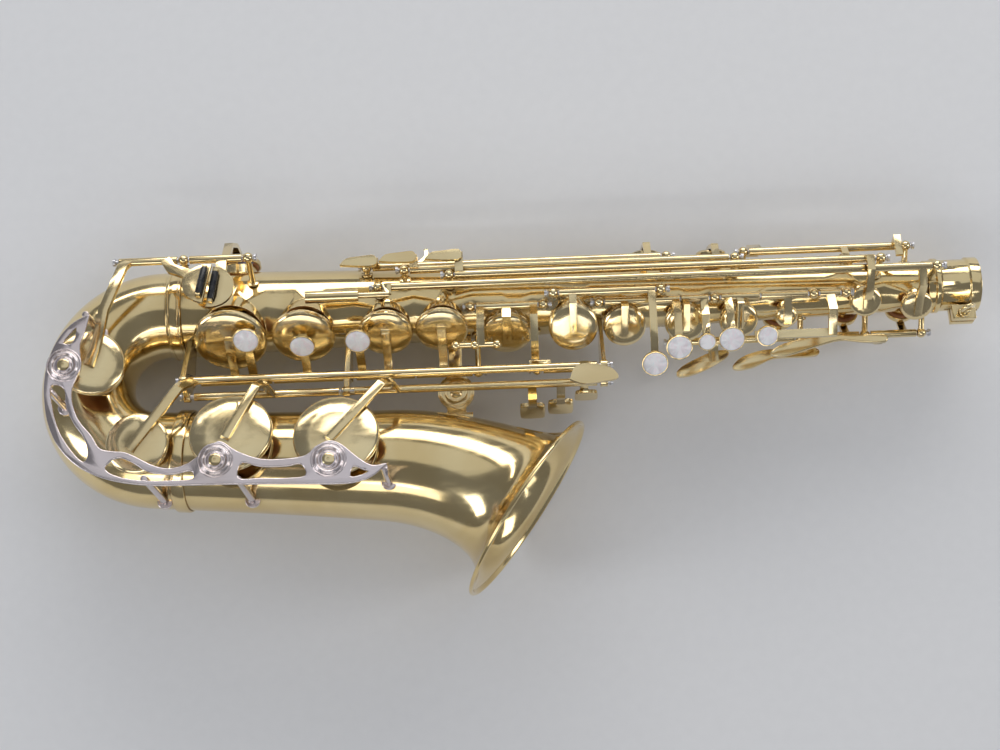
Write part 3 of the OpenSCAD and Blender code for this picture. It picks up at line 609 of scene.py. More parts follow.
def soften(mesh: bpy.types.Mesh, sharp: float) -> None:
    """Shades a mesh smooth apart from its steep edges.

    Args:
        mesh: the mesh.
        sharp: edges steeper than this many degrees stay sharp.
    """
    mesh.polygons.foreach_set("use_smooth", [True] * len(mesh.polygons))
    mesh.set_sharp_from_angle(angle=math.radians(sharp))
    mesh.update()


def settle(piece: bpy.types.Object) -> None:
    """Turns a piece with live modifiers into a plain mesh.

    Args:
        piece: the object to settle.
    """
    bpy.context.view_layer.update()
    ready = piece.evaluated_get(bpy.context.evaluated_depsgraph_get())
    mesh = bpy.data.meshes.new_from_object(ready)
    piece.modifiers.clear()
    old, piece.data = piece.data, mesh
    mesh.name = piece.name
    bpy.data.meshes.remove(old)


def spun(profile: Sequence[Pair], sides: int, slots: Optional[Sequence[int]] = None) -> Shape:
    """Turns a profile about the z axis.

    Args:
        profile: radius and height pairs; a radius of 0 makes a pole.
        sides: points round each ring.
        slots: material number of each profile step.

    Returns:
        The turned shape.
    """
    shape = Shape()
    rings: list[list[int]] = []
    for radius, height in profile:
        start = len(shape.points)
        count = sides if radius > TINY else 1
        for k in range(count):
            turn = 2.0 * math.pi * k / sides
            shape.points.append(Vector((radius * math.cos(turn), radius * math.sin(turn), height)))
        rings.append([start + (k % count) for k in range(sides)])
    for step, (low, high) in enumerate(zip(rings, rings[1:])):
        for k in range(sides):
            corners = [low[k], low[(k + 1) % sides], high[(k + 1) % sides], high[k]]
            face = tuple(dict.fromkeys(corners))
            if len(face) > 2:
                shape.faces.append(face)
                shape.slots.append(slots[step] if slots else 0)
    return shape


@dataclass(frozen=True)
class Ring:
    """One ring of a swept tube: its centre in the tube's plane, its heading in degrees and its radius."""

    centre: Pair
    heading: float
    radius: float

    def point(self, turn: float) -> Vector:
        """A point of the ring.

        Args:
            turn: angle round the ring in radians.

        Returns:
            The point.
        """
        lean = math.radians(self.heading)
        across = self.radius * math.cos(turn)
        x = self.centre[0] - math.sin(lean) * across
        y = self.centre[1] + math.cos(lean) * across
        return Vector((x, y, self.radius * math.sin(turn)))


def swept(rings: Sequence[Ring], sides: int) -> Shape:
    """Joins rings into one closed wall, the last ring to the first.

    Args:
        rings: the outer wall going out and the inner wall coming back.
        sides: points round each ring.

    Returns:
        The wall.
    """
    shape = Shape()
    for ring in rings:
        shape.points += [ring.point(2.0 * math.pi * k / sides) for k in range(sides)]
    count = len(rings)
    for i in range(count):
        for k in range(sides):
            j, n = (i + 1) % count, (k + 1) % sides
            shape.faces.append((i * sides + k, i * sides + n, j * sides + n, j * sides + k))
            shape.slots.append(0)
    return shape


# The horn's own shape


@dataclass(frozen=True)
class HornLines:
    """Centre lines and radii of tube, bow and bell, in mm and degrees; flare is the bell's power."""

    foot_r: float = 26.0
    top_r: float = 13.5
    taper_len: float = 479.0
    wall: float = 0.9
    bow_bend: float = 46.0
    bow_lead: float = 11.0
    bow_tail: float = 18.0
    bell_foot_r: float = 28.5
    bell_dir: float = -3.5
    bell_run: float = 137.0
    bell_bend: float = 154.0
    bell_turn: float = 32.3
    rim_r: float = 59.8
    flare: float = 0.15
    flare_past: float = 2.0
    chimney_h: float = 4.0

    @property
    def bell_length(self) -> float:
        """Length of the bell's centre line."""
        return self.bell_run + self.bell_bend * math.radians(self.bell_turn)

    def tube_r(self, x: float) -> float:
        """Outer radius of the body tube."""
        return self.foot_r - (self.foot_r - self.top_r) * x / self.taper_len

    def bow_mid(self, turn: float) -> Pair:
        """Centre line of the bow at a bend angle in degrees."""
        a = math.radians(turn)
        return (-self.bow_lead - self.bow_bend * math.sin(a), self.bow_bend * (math.cos(a) - 1.0))

    def bow_r(self, turn: float) -> float:
        """Outer radius of the bow at a bend angle."""
        return self.foot_r + (self.bell_foot_r - self.foot_r) * turn / (180.0 + self.bell_dir)

    def bell_head(self, s: float) -> float:
        """Heading of the bell's centre line in degrees."""
        bent = max(0.0, min(s, self.bell_length) - self.bell_run) / self.bell_bend
        return self.bell_dir - math.degrees(bent)

    def bell_mid(self, s: float) -> Pair:
        """Centre line of the bell.

        Args:
            s: length along it from the end of the bow's bend.

        Returns:
            The point in the plane of tube and bell.
        """
        x0, y0 = self.bow_mid(180.0 + self.bell_dir)
        start, head = math.radians(self.bell_dir), math.radians(self.bell_head(s))
        straight, past = min(s, self.bell_run), max(0.0, s - self.bell_length)
        x = x0 + straight * math.cos(start) + self.bell_bend * (math.sin(start) - math.sin(head))
        y = y0 + straight * math.sin(start) + self.bell_bend * (math.cos(head) - math.cos(start))
        return (x + past * math.cos(head), y + past * math.sin(head))

    def bell_r(self, s: float) -> float:
        """Outer radius of the bell."""
        end = self.bell_length + self.flare_past
        return self.bell_foot_r * (end / (end - min(s, self.bell_length))) ** self.flare

    def bell_ring(self, s: float, radius: float) -> Ring:
        """A ring of the bell at s."""
        return Ring(self.bell_mid(s), self.bell_head(s), radius)


LINES = HornLines()


@dataclass(frozen=True)
class Cup:
    """A key's pad cup: the body it rides on, its seat on the horn and how it stands open."""

    body: str
    seat: Matrix
    radius: float
    hinge: Optional[Hinge] = None
    swing: float = 0.0
    pad_node: Optional[str] = None

    @property
    def name(self) -> str:
        """The key's name without its ending."""
        return self.body.replace("_key", "")

    def place(self) -> Matrix:
        """Place of the cup at rest.

        Returns:
            Its frame, z = 0 where the chimney's rim would be.
        """
        if self.hinge is None:
            return self.seat
        y, z = self.hinge.value
        pivot = Vector((0.0, y, z))
        return Matrix.Translation(pivot) @ turned(self.swing, "X") @ Matrix.Translation(-pivot) @ self.seat


def raised(radius: float) -> Matrix:
    """A step from a centre line, past the wall, to a chimney's rim."""
    return Matrix.Translation((0.0, 0.0, radius + LINES.chimney_h))


def on_tube(x: float, around: float) -> Matrix:
    """Seat of a cup on the body tube, at x and an angle from +z toward the bell."""
    return Matrix.Translation((x, 0.0, 0.0)) @ turned(around, "X") @ raised(LINES.tube_r(x))


def on_bell(x: float, s: float) -> Matrix:
    """Seat of a cup on top of the bell or the end of the bow."""
    return Matrix.Translation((x, LINES.bell_mid(s)[1], LINES.bell_r(s) + LINES.chimney_h))


def on_bow(turn: float, tip: Pair) -> Matrix:
    """Seat of a cup on the bow.

    Args:
        turn: bend angle in degrees.
        tip: how far the seat is tipped about x and then about y, in degrees.

    Returns:
        The seat.
    """
    x, y = LINES.bow_mid(turn)
    lean = turned(tip[1], "Y") @ turned(tip[0], "X")
    return Matrix.Translation((x, y, 0.0)) @ lean @ raised(LINES.bow_r(turn))


STACK_OPEN = 13.0
BELL_OPEN = 11.0
C_OPEN = 8.0
C_SHARP_CUP = 17.6
C_CUP = 19.0
B_CUP = 23.6
B_FLAT_CUP = 24.2
SEAT_C_SHARP = Matrix.Translation((-17.0, -2.0 * LINES.bow_bend + 0.2,
                                   LINES.bell_foot_r + LINES.chimney_h))
SEAT_C = on_bow(80.0, (8.0, 20.0))
SEAT_B = on_bell(38.0, 52.0)
SEAT_B_FLAT = on_bell(98.0, 112.0)
CUPS = (
    Cup("d_key", on_tube(33.0, 47.0), 21.3, Hinge.LOW, STACK_OPEN, "d_pad"),
    Cup("e_key", on_tube(76.0, 47.0), 18.5, Hinge.LOW, STACK_OPEN, "e_pad"),
    Cup("f_key", on_tube(124.5, 48.0), 15.9, Hinge.LOW, STACK_OPEN, "f_pad"),
    Cup("fs_key", on_tube(157.5, 48.0), 15.3, Hinge.LOW, STACK_OPEN, "fs_pad"),
    Cup("gs_key", on_tube(196.0, 62.0), 14.6),
    Cup("g_key", on_tube(235.4, 54.0), 14.4, Hinge.G, -STACK_OPEN, "g_pad"),
    Cup("a_key", on_tube(266.0, 58.0), 12.4, Hinge.UP, -STACK_OPEN, "a_pad"),
    Cup("bis_key", on_tube(302.0, 58.0), 11.8, Hinge.UP, -STACK_OPEN),
    Cup("b_key", on_tube(334.0, 58.0), 11.2, Hinge.UP, -STACK_OPEN, "b_pad"),
    Cup("c_key", on_tube(362.5, 56.0), 6.4, Hinge.UP, -STACK_OPEN),
    Cup("high_e_key", on_tube(410.0, 41.0), 9.2),
    Cup("high_fs_key", on_tube(441.0, 54.0), 9.2),
    Cup("side_c_key", on_tube(322.0, -75.0), 9.0),
    Cup("side_bb_key", on_tube(282.0, -85.0), 9.6),
    Cup("eb_key", on_tube(32.0, -90.0), 13.0),
    Cup("palm_d_key", on_tube(364.0, 160.0), 9.4),
    Cup("palm_eb_key", on_tube(404.0, 160.0), 9.0),
    Cup("palm_f_key", on_tube(439.0, 160.0), 8.6),
    Cup("octave_key", on_tube(400.0, -30.0), 4.6),
    Cup("low_bb_key", SEAT_B_FLAT, B_FLAT_CUP, Hinge.LOW_B_FLAT, -BELL_OPEN, "low_bb_pad"),
    Cup("low_b_key", SEAT_B, B_CUP, Hinge.LOW_B, -BELL_OPEN, "low_b_pad"),
    Cup("low_cs_key", SEAT_C_SHARP, C_SHARP_CUP),
    Cup("low_c_key", SEAT_C, C_CUP, Hinge.LITTLE, -C_OPEN, "low_c_pad"),
)


@dataclass(frozen=True)
class Chimney:
    """A drawn tone hole on a shell: its seat, whose z = 0 is the rim, and the cup radius it suits.

    The plug that opens the shell reaches from one height to another. The foot of the wall is sought by
    halving, down to the deepest height.
    """

    seat: Matrix
    cup_r: float
    lip: float = CUP_LIP
    plug: Pair = (-30.0, 3.0)
    deepest: float = -26.0
    halvings: int = 24
    sides: int = 96

    @property
    def bore(self) -> float:
        """Inner radius of the hole."""
        return self.cup_r - self.lip

    def cutter(self) -> bpy.types.Object:
        """A plug that opens the shell under the chimney.

        Returns:
            The plug, at the chimney's seat.
        """
        low, high = self.plug
        plug = spun([(0.0, low), (self.bore, low), (self.bore, high), (0.0, high)], self.sides)
        return Shape().add(plug, self.seat).piece("hole_cutter", [])

    def wall(self, inside: Callable[[Vector], bool]) -> Shape:
        """The chimney's own wall, from inside the shell's sheet up to a rounded rim.

        Args:
            inside: tells whether a point lies within the middle of the shell's sheet.

        Returns:
            The wall.
        """
        outer, sides = self.bore + LINES.wall, self.sides
        rim = [(outer, -0.9), (outer + 0.25, -0.55), (outer + 0.15, -0.12), (outer - 0.3, 0.0),
               (self.bore + 0.15, -0.05), (self.bore, -0.4)]
        shape = Shape()
        for k in range(sides):
            turn = 2.0 * math.pi * k / sides
            around = Vector((math.cos(turn), math.sin(turn), 0.0))
            column = [around * outer + Vector((0.0, 0.0, self._foot(around * outer, inside)))]
            column += [around * r + Vector((0.0, 0.0, z)) for r, z in rim]
            column.append(around * self.bore + Vector((0.0, 0.0, self._foot(around * self.bore, inside))))
            shape.points += [self.seat @ p for p in column]
        rows = len(rim) + 2
        for k in range(sides):
            n = (k + 1) % sides
            for i in range(rows):
                j = (i + 1) % rows
                shape.faces.append((k * rows + i, n * rows + i, n * rows + j, k * rows + j))
                shape.slots.append(0)
        return shape

    def _foot(self, flat: Vector, inside: Callable[[Vector], bool]) -> float:
        """Depth at which a line down the chimney meets the shell's sheet.

        Args:
            flat: the line's place across the chimney.
            inside: tells whether a point lies within the middle of the sheet.

        Returns:
            The depth below the rim, negative.
        """
        high, low = 0.0, self.deepest
        for _ in range(self.halvings):
            middle = (high + low) / 2.0
            if inside(self.seat @ Vector((flat.x, flat.y, middle))):
                low = middle
            else:
                high = middle
        return high


@dataclass
class Shells:
    """The smooth bell and bow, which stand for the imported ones."""

    finishes: Finishes
    sides: int = 128
    bell_steps: int = 70
    crowding: float = 1.7
    rim_clear: float = 2.4
    bead_r: float = 1.3
    bead_steps: int = 14
    bead_sweep: float = 320.0
    bead_start: float = -70.0
    bead_past: float = 0.6
    bow_steps: int = 64

    def build(self) -> None:
        """Makes both shells and sets them on the horn."""
        for name, make in (("bell", self._bell), ("bow", self._bow)):
            piece = make()
            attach(piece, "horn")
            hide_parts(name)
            LOG.info("shell %s: %d faces", piece.name, len(piece.data.polygons))

    def _bell(self) -> bpy.types.Object:
        """Flared bell with its rolled rim and two chimneys.

        Returns:
            The piece.
        """
        start, end, widest = LINES.bow_tail, LINES.bell_length, LINES.rim_r - self.rim_clear
        shares = (1.0 - (1.0 - k / self.bell_steps) ** self.crowding for k in range(self.bell_steps + 1))
        steps = [start + (end - start) * share for share in shares]
        outer = [LINES.bell_ring(s, LINES.bell_r(s)) for s in steps if LINES.bell_r(s) < widest]
        bead = []
        for k in range(self.bead_steps):
            turn = math.radians(self.bead_sweep * k / (self.bead_steps - 1) + self.bead_start)
            along = end + self.bead_past - self.bead_r * math.cos(turn)
            bead.append(LINES.bell_ring(along, LINES.rim_r - self.bead_r + self.bead_r * math.sin(turn)))
        shell = swept(outer + bead + self._inner(outer), self.sides)
        holes = [Chimney(SEAT_B, B_CUP), Chimney(SEAT_B_FLAT, B_FLAT_CUP)]
        return self._opened("bell_shell", shell, holes, self._in_bell)

    def _bow(self) -> bpy.types.Object:
        """Bow with its short lead and tail and two chimneys.

        Returns:
            The piece.
        """
        last, tail = 180.0 + LINES.bell_dir, LINES.bow_tail
        bends = [last * k / self.bow_steps for k in range(self.bow_steps + 1)]
        outer = [Ring((0.0, 0.0), 180.0, LINES.foot_r)]
        outer += [Ring(LINES.bow_mid(a), 180.0 + a, LINES.bow_r(a)) for a in bends]
        outer.append(Ring(LINES.bell_mid(tail), 360.0 + LINES.bell_dir, LINES.bell_r(tail)))
        shell = swept(outer + self._inner(outer), self.sides)
        holes = [Chimney(SEAT_C_SHARP, C_SHARP_CUP), Chimney(SEAT_C, C_CUP)]
        return self._opened("bow_shell", shell, holes, self._in_bow)

    @staticmethod
    def _inner(outer: Sequence[Ring]) -> list[Ring]:
        """The rings of the inner wall, coming back."""
        return [Ring(r.centre, r.heading, r.radius - LINES.wall) for r in reversed(outer)]

    def _opened(self, name: str, shell: Shape, holes: Sequence[Chimney],
                inside: Callable[[Vector], bool]) -> bpy.types.Object:
        """Cuts a shell's tone holes and sets the chimneys in them.

        Args:
            name: the piece's name.
            shell: the closed sheet.
            holes: its chimneys.
            inside: tells whether a point lies within the middle of the sheet.

        Returns:
            The finished piece.
        """
        piece = shell.piece(name, [self.finishes.shell])
        for hole in holes:
            cutter = hole.cutter()
            cut = piece.modifiers.new("hole", "BOOLEAN")
            cut.operation, cut.solver, cut.object = "DIFFERENCE", "EXACT", cutter
            settle(piece)
            bpy.data.objects.remove(cutter)
        soften(piece.data, SHARP_EDGE)
        walls = Shape()
        for hole in holes:
            walls.add(hole.wall(inside))
        return joined(piece, walls.piece(name + "_chimneys", [self.finishes.shell]))

    @staticmethod
    def _in_bell(p: Vector) -> bool:
        """Whether a point lies within the middle of the bell's straight sheet.

        Args:
            p: the point in mm.

        Returns:
            True inside.
        """
        x0, y0 = LINES.bow_mid(180.0 + LINES.bell_dir)
        head = math.radians(LINES.bell_dir)
        s = (p.x - x0) * math.cos(head) + (p.y - y0) * math.sin(head)
        off = -(p.x - x0) * math.sin(head) + (p.y - y0) * math.cos(head)
        return math.hypot(off, p.z) < LINES.bell_r(max(0.0, s)) - LINES.wall / 2.0

    @staticmethod
    def _in_bow(p: Vector) -> bool:
        """Whether a point lies within the middle of the bow's sheet.

        Args:
            p: the point in mm.

        Returns:
            True inside.
        """
        if p.x > LINES.bow_mid(180.0 + LINES.bell_dir)[0]:
            return Shells._in_bell(p)
        dx, dy = p.x + LINES.bow_lead, p.y + LINES.bow_bend
        turn = math.degrees(math.atan2(-dx, dy))
        away = math.hypot(dx, dy) - LINES.bow_bend
        return math.hypot(away, p.z) < LINES.bow_r(max(0.0, turn)) - LINES.wall / 2.0


def joined(main: bpy.types.Object, extra: bpy.types.Object) -> bpy.types.Object:
    """Adds one object's mesh to another's, both at the origin.

    Args:
        main: the object that stays.
        extra: the object that is taken in.

    Returns:
        The object that stays.
    """
    body = bmesh.new()
    body.from_mesh(main.data)
    body.from_mesh(extra.data)
    body.to_mesh(main.data)
    body.free()
    old = extra.data
    bpy.data.objects.remove(extra)
    bpy.data.meshes.remove(old)
    return main


# Pads and bumpers


BUMPERS = ((-54.0, -52.0), (33.3, -111.0), (95.8, -113.0))


@dataclass
class Pads:
    """Leather pads with a resonator, in every cup."""

    finishes: Finishes
    sides: int = 72
    inset: float = 1.0
    gap: float = 0.3
    top: float = 3.6
    lip: float = CUP_LIP
    bite: float = 0.4
    disc_share: float = 0.4
    sharp: float = 60.0

    def build(self) -> None:
        """Makes a pad for each cup; where the frame has a pad solid the new one stands for it."""
        for cup in CUPS:
            shape = Shape().add(self._shape(cup.radius), cup.place())
            name = cup.name + "_kid_pad"
            piece = shape.piece(name, [self.finishes.leather, self.finishes.keys], self.sharp)
            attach(piece, cup.body)
            if cup.pad_node:
                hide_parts(cup.pad_node)
            LOG.info("pad %s", name)

    def _shape(self, cup_r: float) -> Shape:
        """A pad with rolled edge, the seat's impression, and a domed resonator with its rivet.

        Args:
            cup_r: radius of the cup.

        Returns:
            The pad, z = 0 at the chimney's rim.
        """
        rim, seat, disc = cup_r - self.inset, cup_r - self.lip + self.bite, cup_r * self.disc_share
        low = self.gap
        metal = [(0.0, low + 0.1), (disc * 0.22, low + 0.14), (disc * 0.26, low + 0.34),
                 (disc * 0.7, low + 0.28), (disc, low + 0.5)]
        skin = [(disc + 0.05, low + 0.55), (disc + 0.8, low + 0.12), (seat - 0.9, low), (seat, low + 0.16),
                (seat + 0.9, low), (rim - 0.7, low + 0.1), (rim - 0.2, low + 0.5), (rim, low + 1.1),
                (rim - 0.02, low + 2.0), (rim - 0.1, self.top - 0.3), (rim - 0.4, self.top),
                (0.0, self.top)]
        slots = [1] * (len(metal) - 1) + [0] * len(skin)
        return spun(metal + skin, self.sides, slots)


@dataclass
class FeltBumpers:
    """Felt bumpers in the guard, each with a brass stem and a dimpled top."""

    finishes: Finishes
    guard_z: float = 59.0
    sides: int = 64
    felt_steps: int = 5
    sharp: float = 50.0

    def build(self) -> None:
        """Makes the three bumpers as one piece."""
        shape = Shape()
        for x, y in BUMPERS:
            shape.add(self._shape(), Matrix.Translation((x, y, self.guard_z)))
        piece = shape.piece("felt_bumpers", [self.finishes.felt, self.finishes.keys], self.sharp)
        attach(piece, "horn")
        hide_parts("guard_bumpers")
        LOG.info("felt bumpers: %d", len(BUMPERS))

    def _shape(self) -> Shape:
        """One bumper.

        Returns:
            The bumper, z = 0 at the guard's plate.
        """
        profile = [(0.0, -6.0), (6.0, -6.0), (6.7, -5.8), (7.0, -5.2), (7.0, -0.3), (2.0, -0.12),
                   (2.0, 2.66), (3.2, 2.68), (3.4, 2.9), (3.4, 3.3), (2.9, 3.62), (0.8, 3.65),
                   (0.75, 3.35), (0.0, 3.35)]
        slots = [0] * self.felt_steps + [1] * (len(profile) - 1 - self.felt_steps)
        return spun(profile, self.sides, slots)


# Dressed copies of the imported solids


@dataclass(frozen=True)
class Dress:
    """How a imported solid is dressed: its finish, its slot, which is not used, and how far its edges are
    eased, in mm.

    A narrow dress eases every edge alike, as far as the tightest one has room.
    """

    finish: str
    slot: Slot
    ease: float = 0.8
    segments: int = 3
    sharp: float = 35.0
    narrow: bool = False


KEY_DRESS = Dress("keys", Slot.BRASS)
PEARL_DRESS = Dress("pearl", Slot.PEARL, ease=0.3)
ROLLER_DRESS = Dress("black", Slot.BLACK, ease=0.5)
KEY_NODES = ("low_bb_key", "low_b_key", "low_cs_key", "low_c_key", "eb_key", "d_key", "e_key", "f_key",
             "fs_key", "gs_key", "gs_lever", "g_key", "a_key", "bis_key", "b_key", "c_key", "front_f_key",
             "side_bb_key", "side_c_key", "high_e_key", "high_fs_key", "palm_d_key", "palm_eb_key",
             "palm_f_key", "octave_key", "neck_screw")
PEARL_NODES = ("d_pearl", "e_pearl", "f_pearl", "g_pearl", "a_pearl", "bis_pearl", "b_pearl",
               "front_f_pearl")
DRESSES = {
    **{node: KEY_DRESS for node in KEY_NODES},
    **{node: PEARL_DRESS for node in PEARL_NODES},
    "low_c_roller": ROLLER_DRESS,
    "eb_roller": ROLLER_DRESS,
    "body_tube": Dress("shell", Slot.BRASS, ease=0.2),
    "ferrules": Dress("shell", Slot.BRASS, ease=0.3),
    "neck_receiver": Dress("shell", Slot.BRASS, ease=0.3),
    "bell_brace": Dress("keys", Slot.BRASS, ease=0.3),
    "key_guard": Dress("guard", Slot.BRASS, ease=0.5),
    "posts": Dress("keys", Slot.BRASS, ease=0.25, segments=2, narrow=True),
    "hinge_rods": Dress("steel", Slot.STEEL, ease=0.2, segments=2, narrow=True),
    "springs": Dress("spring", Slot.STEEL, ease=0.0),
    "thumb_hook": Dress("keys", Slot.BRASS, ease=0.6),
    "thumb_rest": Dress("black", Slot.BLACK, ease=0.5),
    "strap_ring": Dress("keys", Slot.BRASS, ease=0.5),
}


@dataclass
class Wardrobe:
    """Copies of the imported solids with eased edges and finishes.

    Attributes:
        finishes: the materials.
        nodes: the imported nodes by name.
        weld: metres between points that count as one.
        flat: angle in radians under which neighbouring faces are merged.
        share: part of a face's reach that the easing of one edge may take.
        least: easing in metres under which an edge is left sharp.
        least_ease: easing in mm that stands for none when shares are worked out.
        speck: area in square metres under which a face is not judged.
        stray: part of the easing by which a point may lie off the skin.
        folded: cosine to the skin below which a face counts as folded over.
        tries: how often edges are taken off before the rounding is given up.
    """

    finishes: Finishes
    nodes: dict[str, bpy.types.Object]
    weld: float = 2e-6
    flat: float = math.radians(0.6)
    share: float = 0.36
    least: float = 0.04 * MM
    least_ease: float = 0.001
    speck: float = 1e-10
    stray: float = 0.6
    folded: float = -0.25
    tries: int = 9

    def build(self) -> None:
        """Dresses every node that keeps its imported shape."""
        for node, dress in DRESSES.items():
            piece = self._copy(node, dress)
            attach(piece, self.nodes[node]["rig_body"])
            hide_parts(node)
            LOG.info("dressed %s: %d faces", node, len(piece.data.polygons))

    def _copy(self, node: str, dress: Dress) -> bpy.types.Object:
        """A merged copy of a node's mesh with eased edges.

        Args:
            node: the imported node.
            dress: its dress.

        Returns:
            The new piece.
        """
        mesh = bpy.data.meshes.new(node + "_dressed")
        body = bmesh.new()
        body.from_mesh(self.nodes[node].data)
        bmesh.ops.remove_doubles(body, verts=body.verts, dist=self.weld)
        bmesh.ops.dissolve_limit(body, angle_limit=self.flat, verts=body.verts, edges=body.edges)
        for face in body.faces:
            face.material_index = 0
        self._weigh(body, dress)
        body.to_mesh(mesh)
        body.free()
        mesh.materials.append(getattr(self.finishes, dress.finish))
        soften(mesh, dress.sharp)
        piece = put(node + "_dressed", mesh)
        if dress.ease > 0.0:
            self._ease(piece, dress)
            settle(piece)
            soften(piece.data, dress.sharp)
        return piece

    def _ease(self, piece: bpy.types.Object, dress: Dress) -> None:
        """Rounds a piece's edges with a live modifier.

        Args:
            piece: the piece, whose mesh carries the marks.
            dress: the node's dress.
        """
        edge = piece.modifiers.new("eased", "BEVEL")
        edge.width, edge.segments = dress.ease * MM, dress.segments
        edge.limit_method, edge.use_clamp_overlap = "WEIGHT", False
        if dress.narrow or not self._fits(piece, dress):
            edge.limit_method, edge.angle_limit = "ANGLE", math.radians(dress.sharp)
            edge.use_clamp_overlap = True
            LOG.info("%s keeps narrow edges", piece.name)

    def _fits(self, piece: bpy.types.Object, dress: Dress) -> bool:
        """Takes the mark off each edge whose rounding breaks the surface, until none does.

        Args:
            piece: the piece with its live rounding.
            dress: the node's dress.

        Returns:
            Whether the rounding that is left lies on the surface everywhere.
        """
        mesh = piece.data
        spots = [vertex.co.copy() for vertex in mesh.vertices]
        skin = BVHTree.FromPolygons(spots, [tuple(face.vertices) for face in mesh.polygons])
        corners = KDTree(len(spots))
        for index, spot in enumerate(spots):
            corners.insert(spot, index)
        corners.balance()
        weights = mesh.attributes[BEVEL_MARK].data
        for _ in range(self.tries):
            torn = {corners.find(spot)[1] for spot in self._strays(piece, skin, dress.ease * MM)}
            if not torn:
                return True
            for line in mesh.edges:
                if torn.intersection(line.vertices):
                    weights[line.index].value = 0.0
            mesh.update_tag()
        return False

    def _strays(self, piece: bpy.types.Object, skin: BVHTree, ease: float) -> list[Vector]:
        """Finds where a rounded piece leaves its own skin or folds over.

        Args:
            piece: the piece with its live rounding.
            skin: the surface before rounding.
            ease: the width of the rounding in metres.

        Returns:
            The corners of folded faces, and the sound corners of faces that stray.
        """
        bpy.context.view_layer.update()
        ready = piece.evaluated_get(bpy.context.evaluated_depsgraph_get())
        eased = ready.to_mesh()
        far = [skin.find_nearest(vertex.co)[3] > self.stray * ease for vertex in eased.vertices]
        found: list[Vector] = []
        for face in eased.polygons:
            below = skin.find_nearest(face.center)[1]
            flipped = face.area > self.speck and face.normal.dot(below) < self.folded
            if flipped or any(far[corner] for corner in face.vertices):
                sound = [corner for corner in face.vertices if flipped or not far[corner]]
                found.extend(eased.vertices[corner].co.copy() for corner in sound)
        ready.to_mesh_clear()
        return found

    def _weigh(self, body: bmesh.types.BMesh, dress: Dress) -> None:
        """Marks each sharp edge with the share of the easing that its faces have room for.

        Args:
            body: the mesh to mark.
            dress: the node's dress.
        """
        layer = body.edges.layers.float.new(BEVEL_MARK)
        full = max(dress.ease, self.least_ease) * MM
        body.normal_update()
        for edge in body.edges:
            if len(edge.link_faces) != 2 or edge.calc_face_angle(0.0) < math.radians(dress.sharp):
                continue
            width = min(full, self.share * min(reach(loop) for loop in edge.link_loops))
            edge[layer] = width / full if width > self.least else 0.0


def reach(loop: bmesh.types.BMLoop) -> float:
    """How far a face reaches inward from the middle of one of its edges.

    Args:
        loop: the face's corner at which the edge starts.

    Returns:
        The distance in metres to the next edge across the face.
    """
    start, stop = loop.vert.co, loop.link_loop_next.vert.co
    middle, along = (start + stop) / 2.0, (stop - start).normalized()
    inward = loop.face.normal.cross(along)
    nearest = FAR_OFF
    for other in loop.face.loops:
        if other is loop:
            continue
        a, b = other.vert.co - middle, other.link_loop_next.vert.co - middle
        ua, ub = a.dot(along), b.dot(along)
        if ua * ub > 0.0 or abs(ua - ub) < TINY:
            continue
        wa, wb = a.dot(inward), b.dot(inward)
        across = wa + (wb - wa) * ua / (ua - ub)
        if across > WELD:
            nearest = min(nearest, across)
    return nearest


# Geometry Nodes: beads along loops, slotted screws on points


class NodeTree(Wires):
    """A Geometry Nodes tree with named inputs."""

    def __init__(self, name: str) -> None:
        """Starts a tree with geometry in and out.

        Args:
            name: the tree's name.
        """
        super().__init__(bpy.data.node_groups.new(name, "GeometryNodeTree"))
        self.tree.interface.new_socket("Geometry", in_out="INPUT", socket_type="NodeSocketGeometry")
        self.tree.interface.new_socket("Geometry", in_out="OUTPUT", socket_type="NodeSocketGeometry")
        self.inlet = self.tree.nodes.new("NodeGroupInput")
        self.outlet = self.tree.nodes.new("NodeGroupOutput")
        self.sockets: dict[str, str] = {}

    def value(self, name: str, kind: str) -> None:
        """Adds an input of that name and socket type."""
        made = self.tree.interface.new_socket(name, in_out="INPUT", socket_type=kind)
        self.sockets[name] = made.identifier

    def source(self, value: object) -> Optional[bpy.types.NodeSocket]:
        """The tree's input of that name, or the value itself if it is a socket."""
        named = isinstance(value, str) and value in self.inlet.outputs
        return self.inlet.outputs[value] if named else super().source(value)

    def close(self, geometry: bpy.types.NodeSocket) -> None:
        """Ends the tree in realised, smooth geometry with its finish.

        Args:
            geometry: what the tree has made.
        """
        smooth = self.node("GeometryNodeSetShadeSmooth", None, {"Geometry": geometry})
        real = self.node("GeometryNodeRealizeInstances", None, {"Geometry": smooth.outputs[0]})
        dressed = self.node("GeometryNodeSetMaterial", None,
                            {"Geometry": real.outputs[0], "Material": "Finish"})
        self.tree.links.new(dressed.outputs[0], self.outlet.inputs[0])

    def grow(self, name: str, mesh: bpy.types.Mesh, values: dict, sharp: float = 40.0) -> bpy.types.Object:
        """Runs the tree on a mesh.

        Args:
            name: the new piece's name.
            mesh: its points or loops.
            values: the tree's inputs by name.
            sharp: edges steeper than this many degrees stay sharp.

        Returns:
            The piece as a plain mesh.
        """
        piece = put(name, mesh)
        grown = piece.modifiers.new("grown", "NODES")
        grown.node_group = self.tree
        for key, value in values.items():
            grown[self.sockets[key]] = value
        settle(piece)
        soften(piece.data, sharp)
        return piece


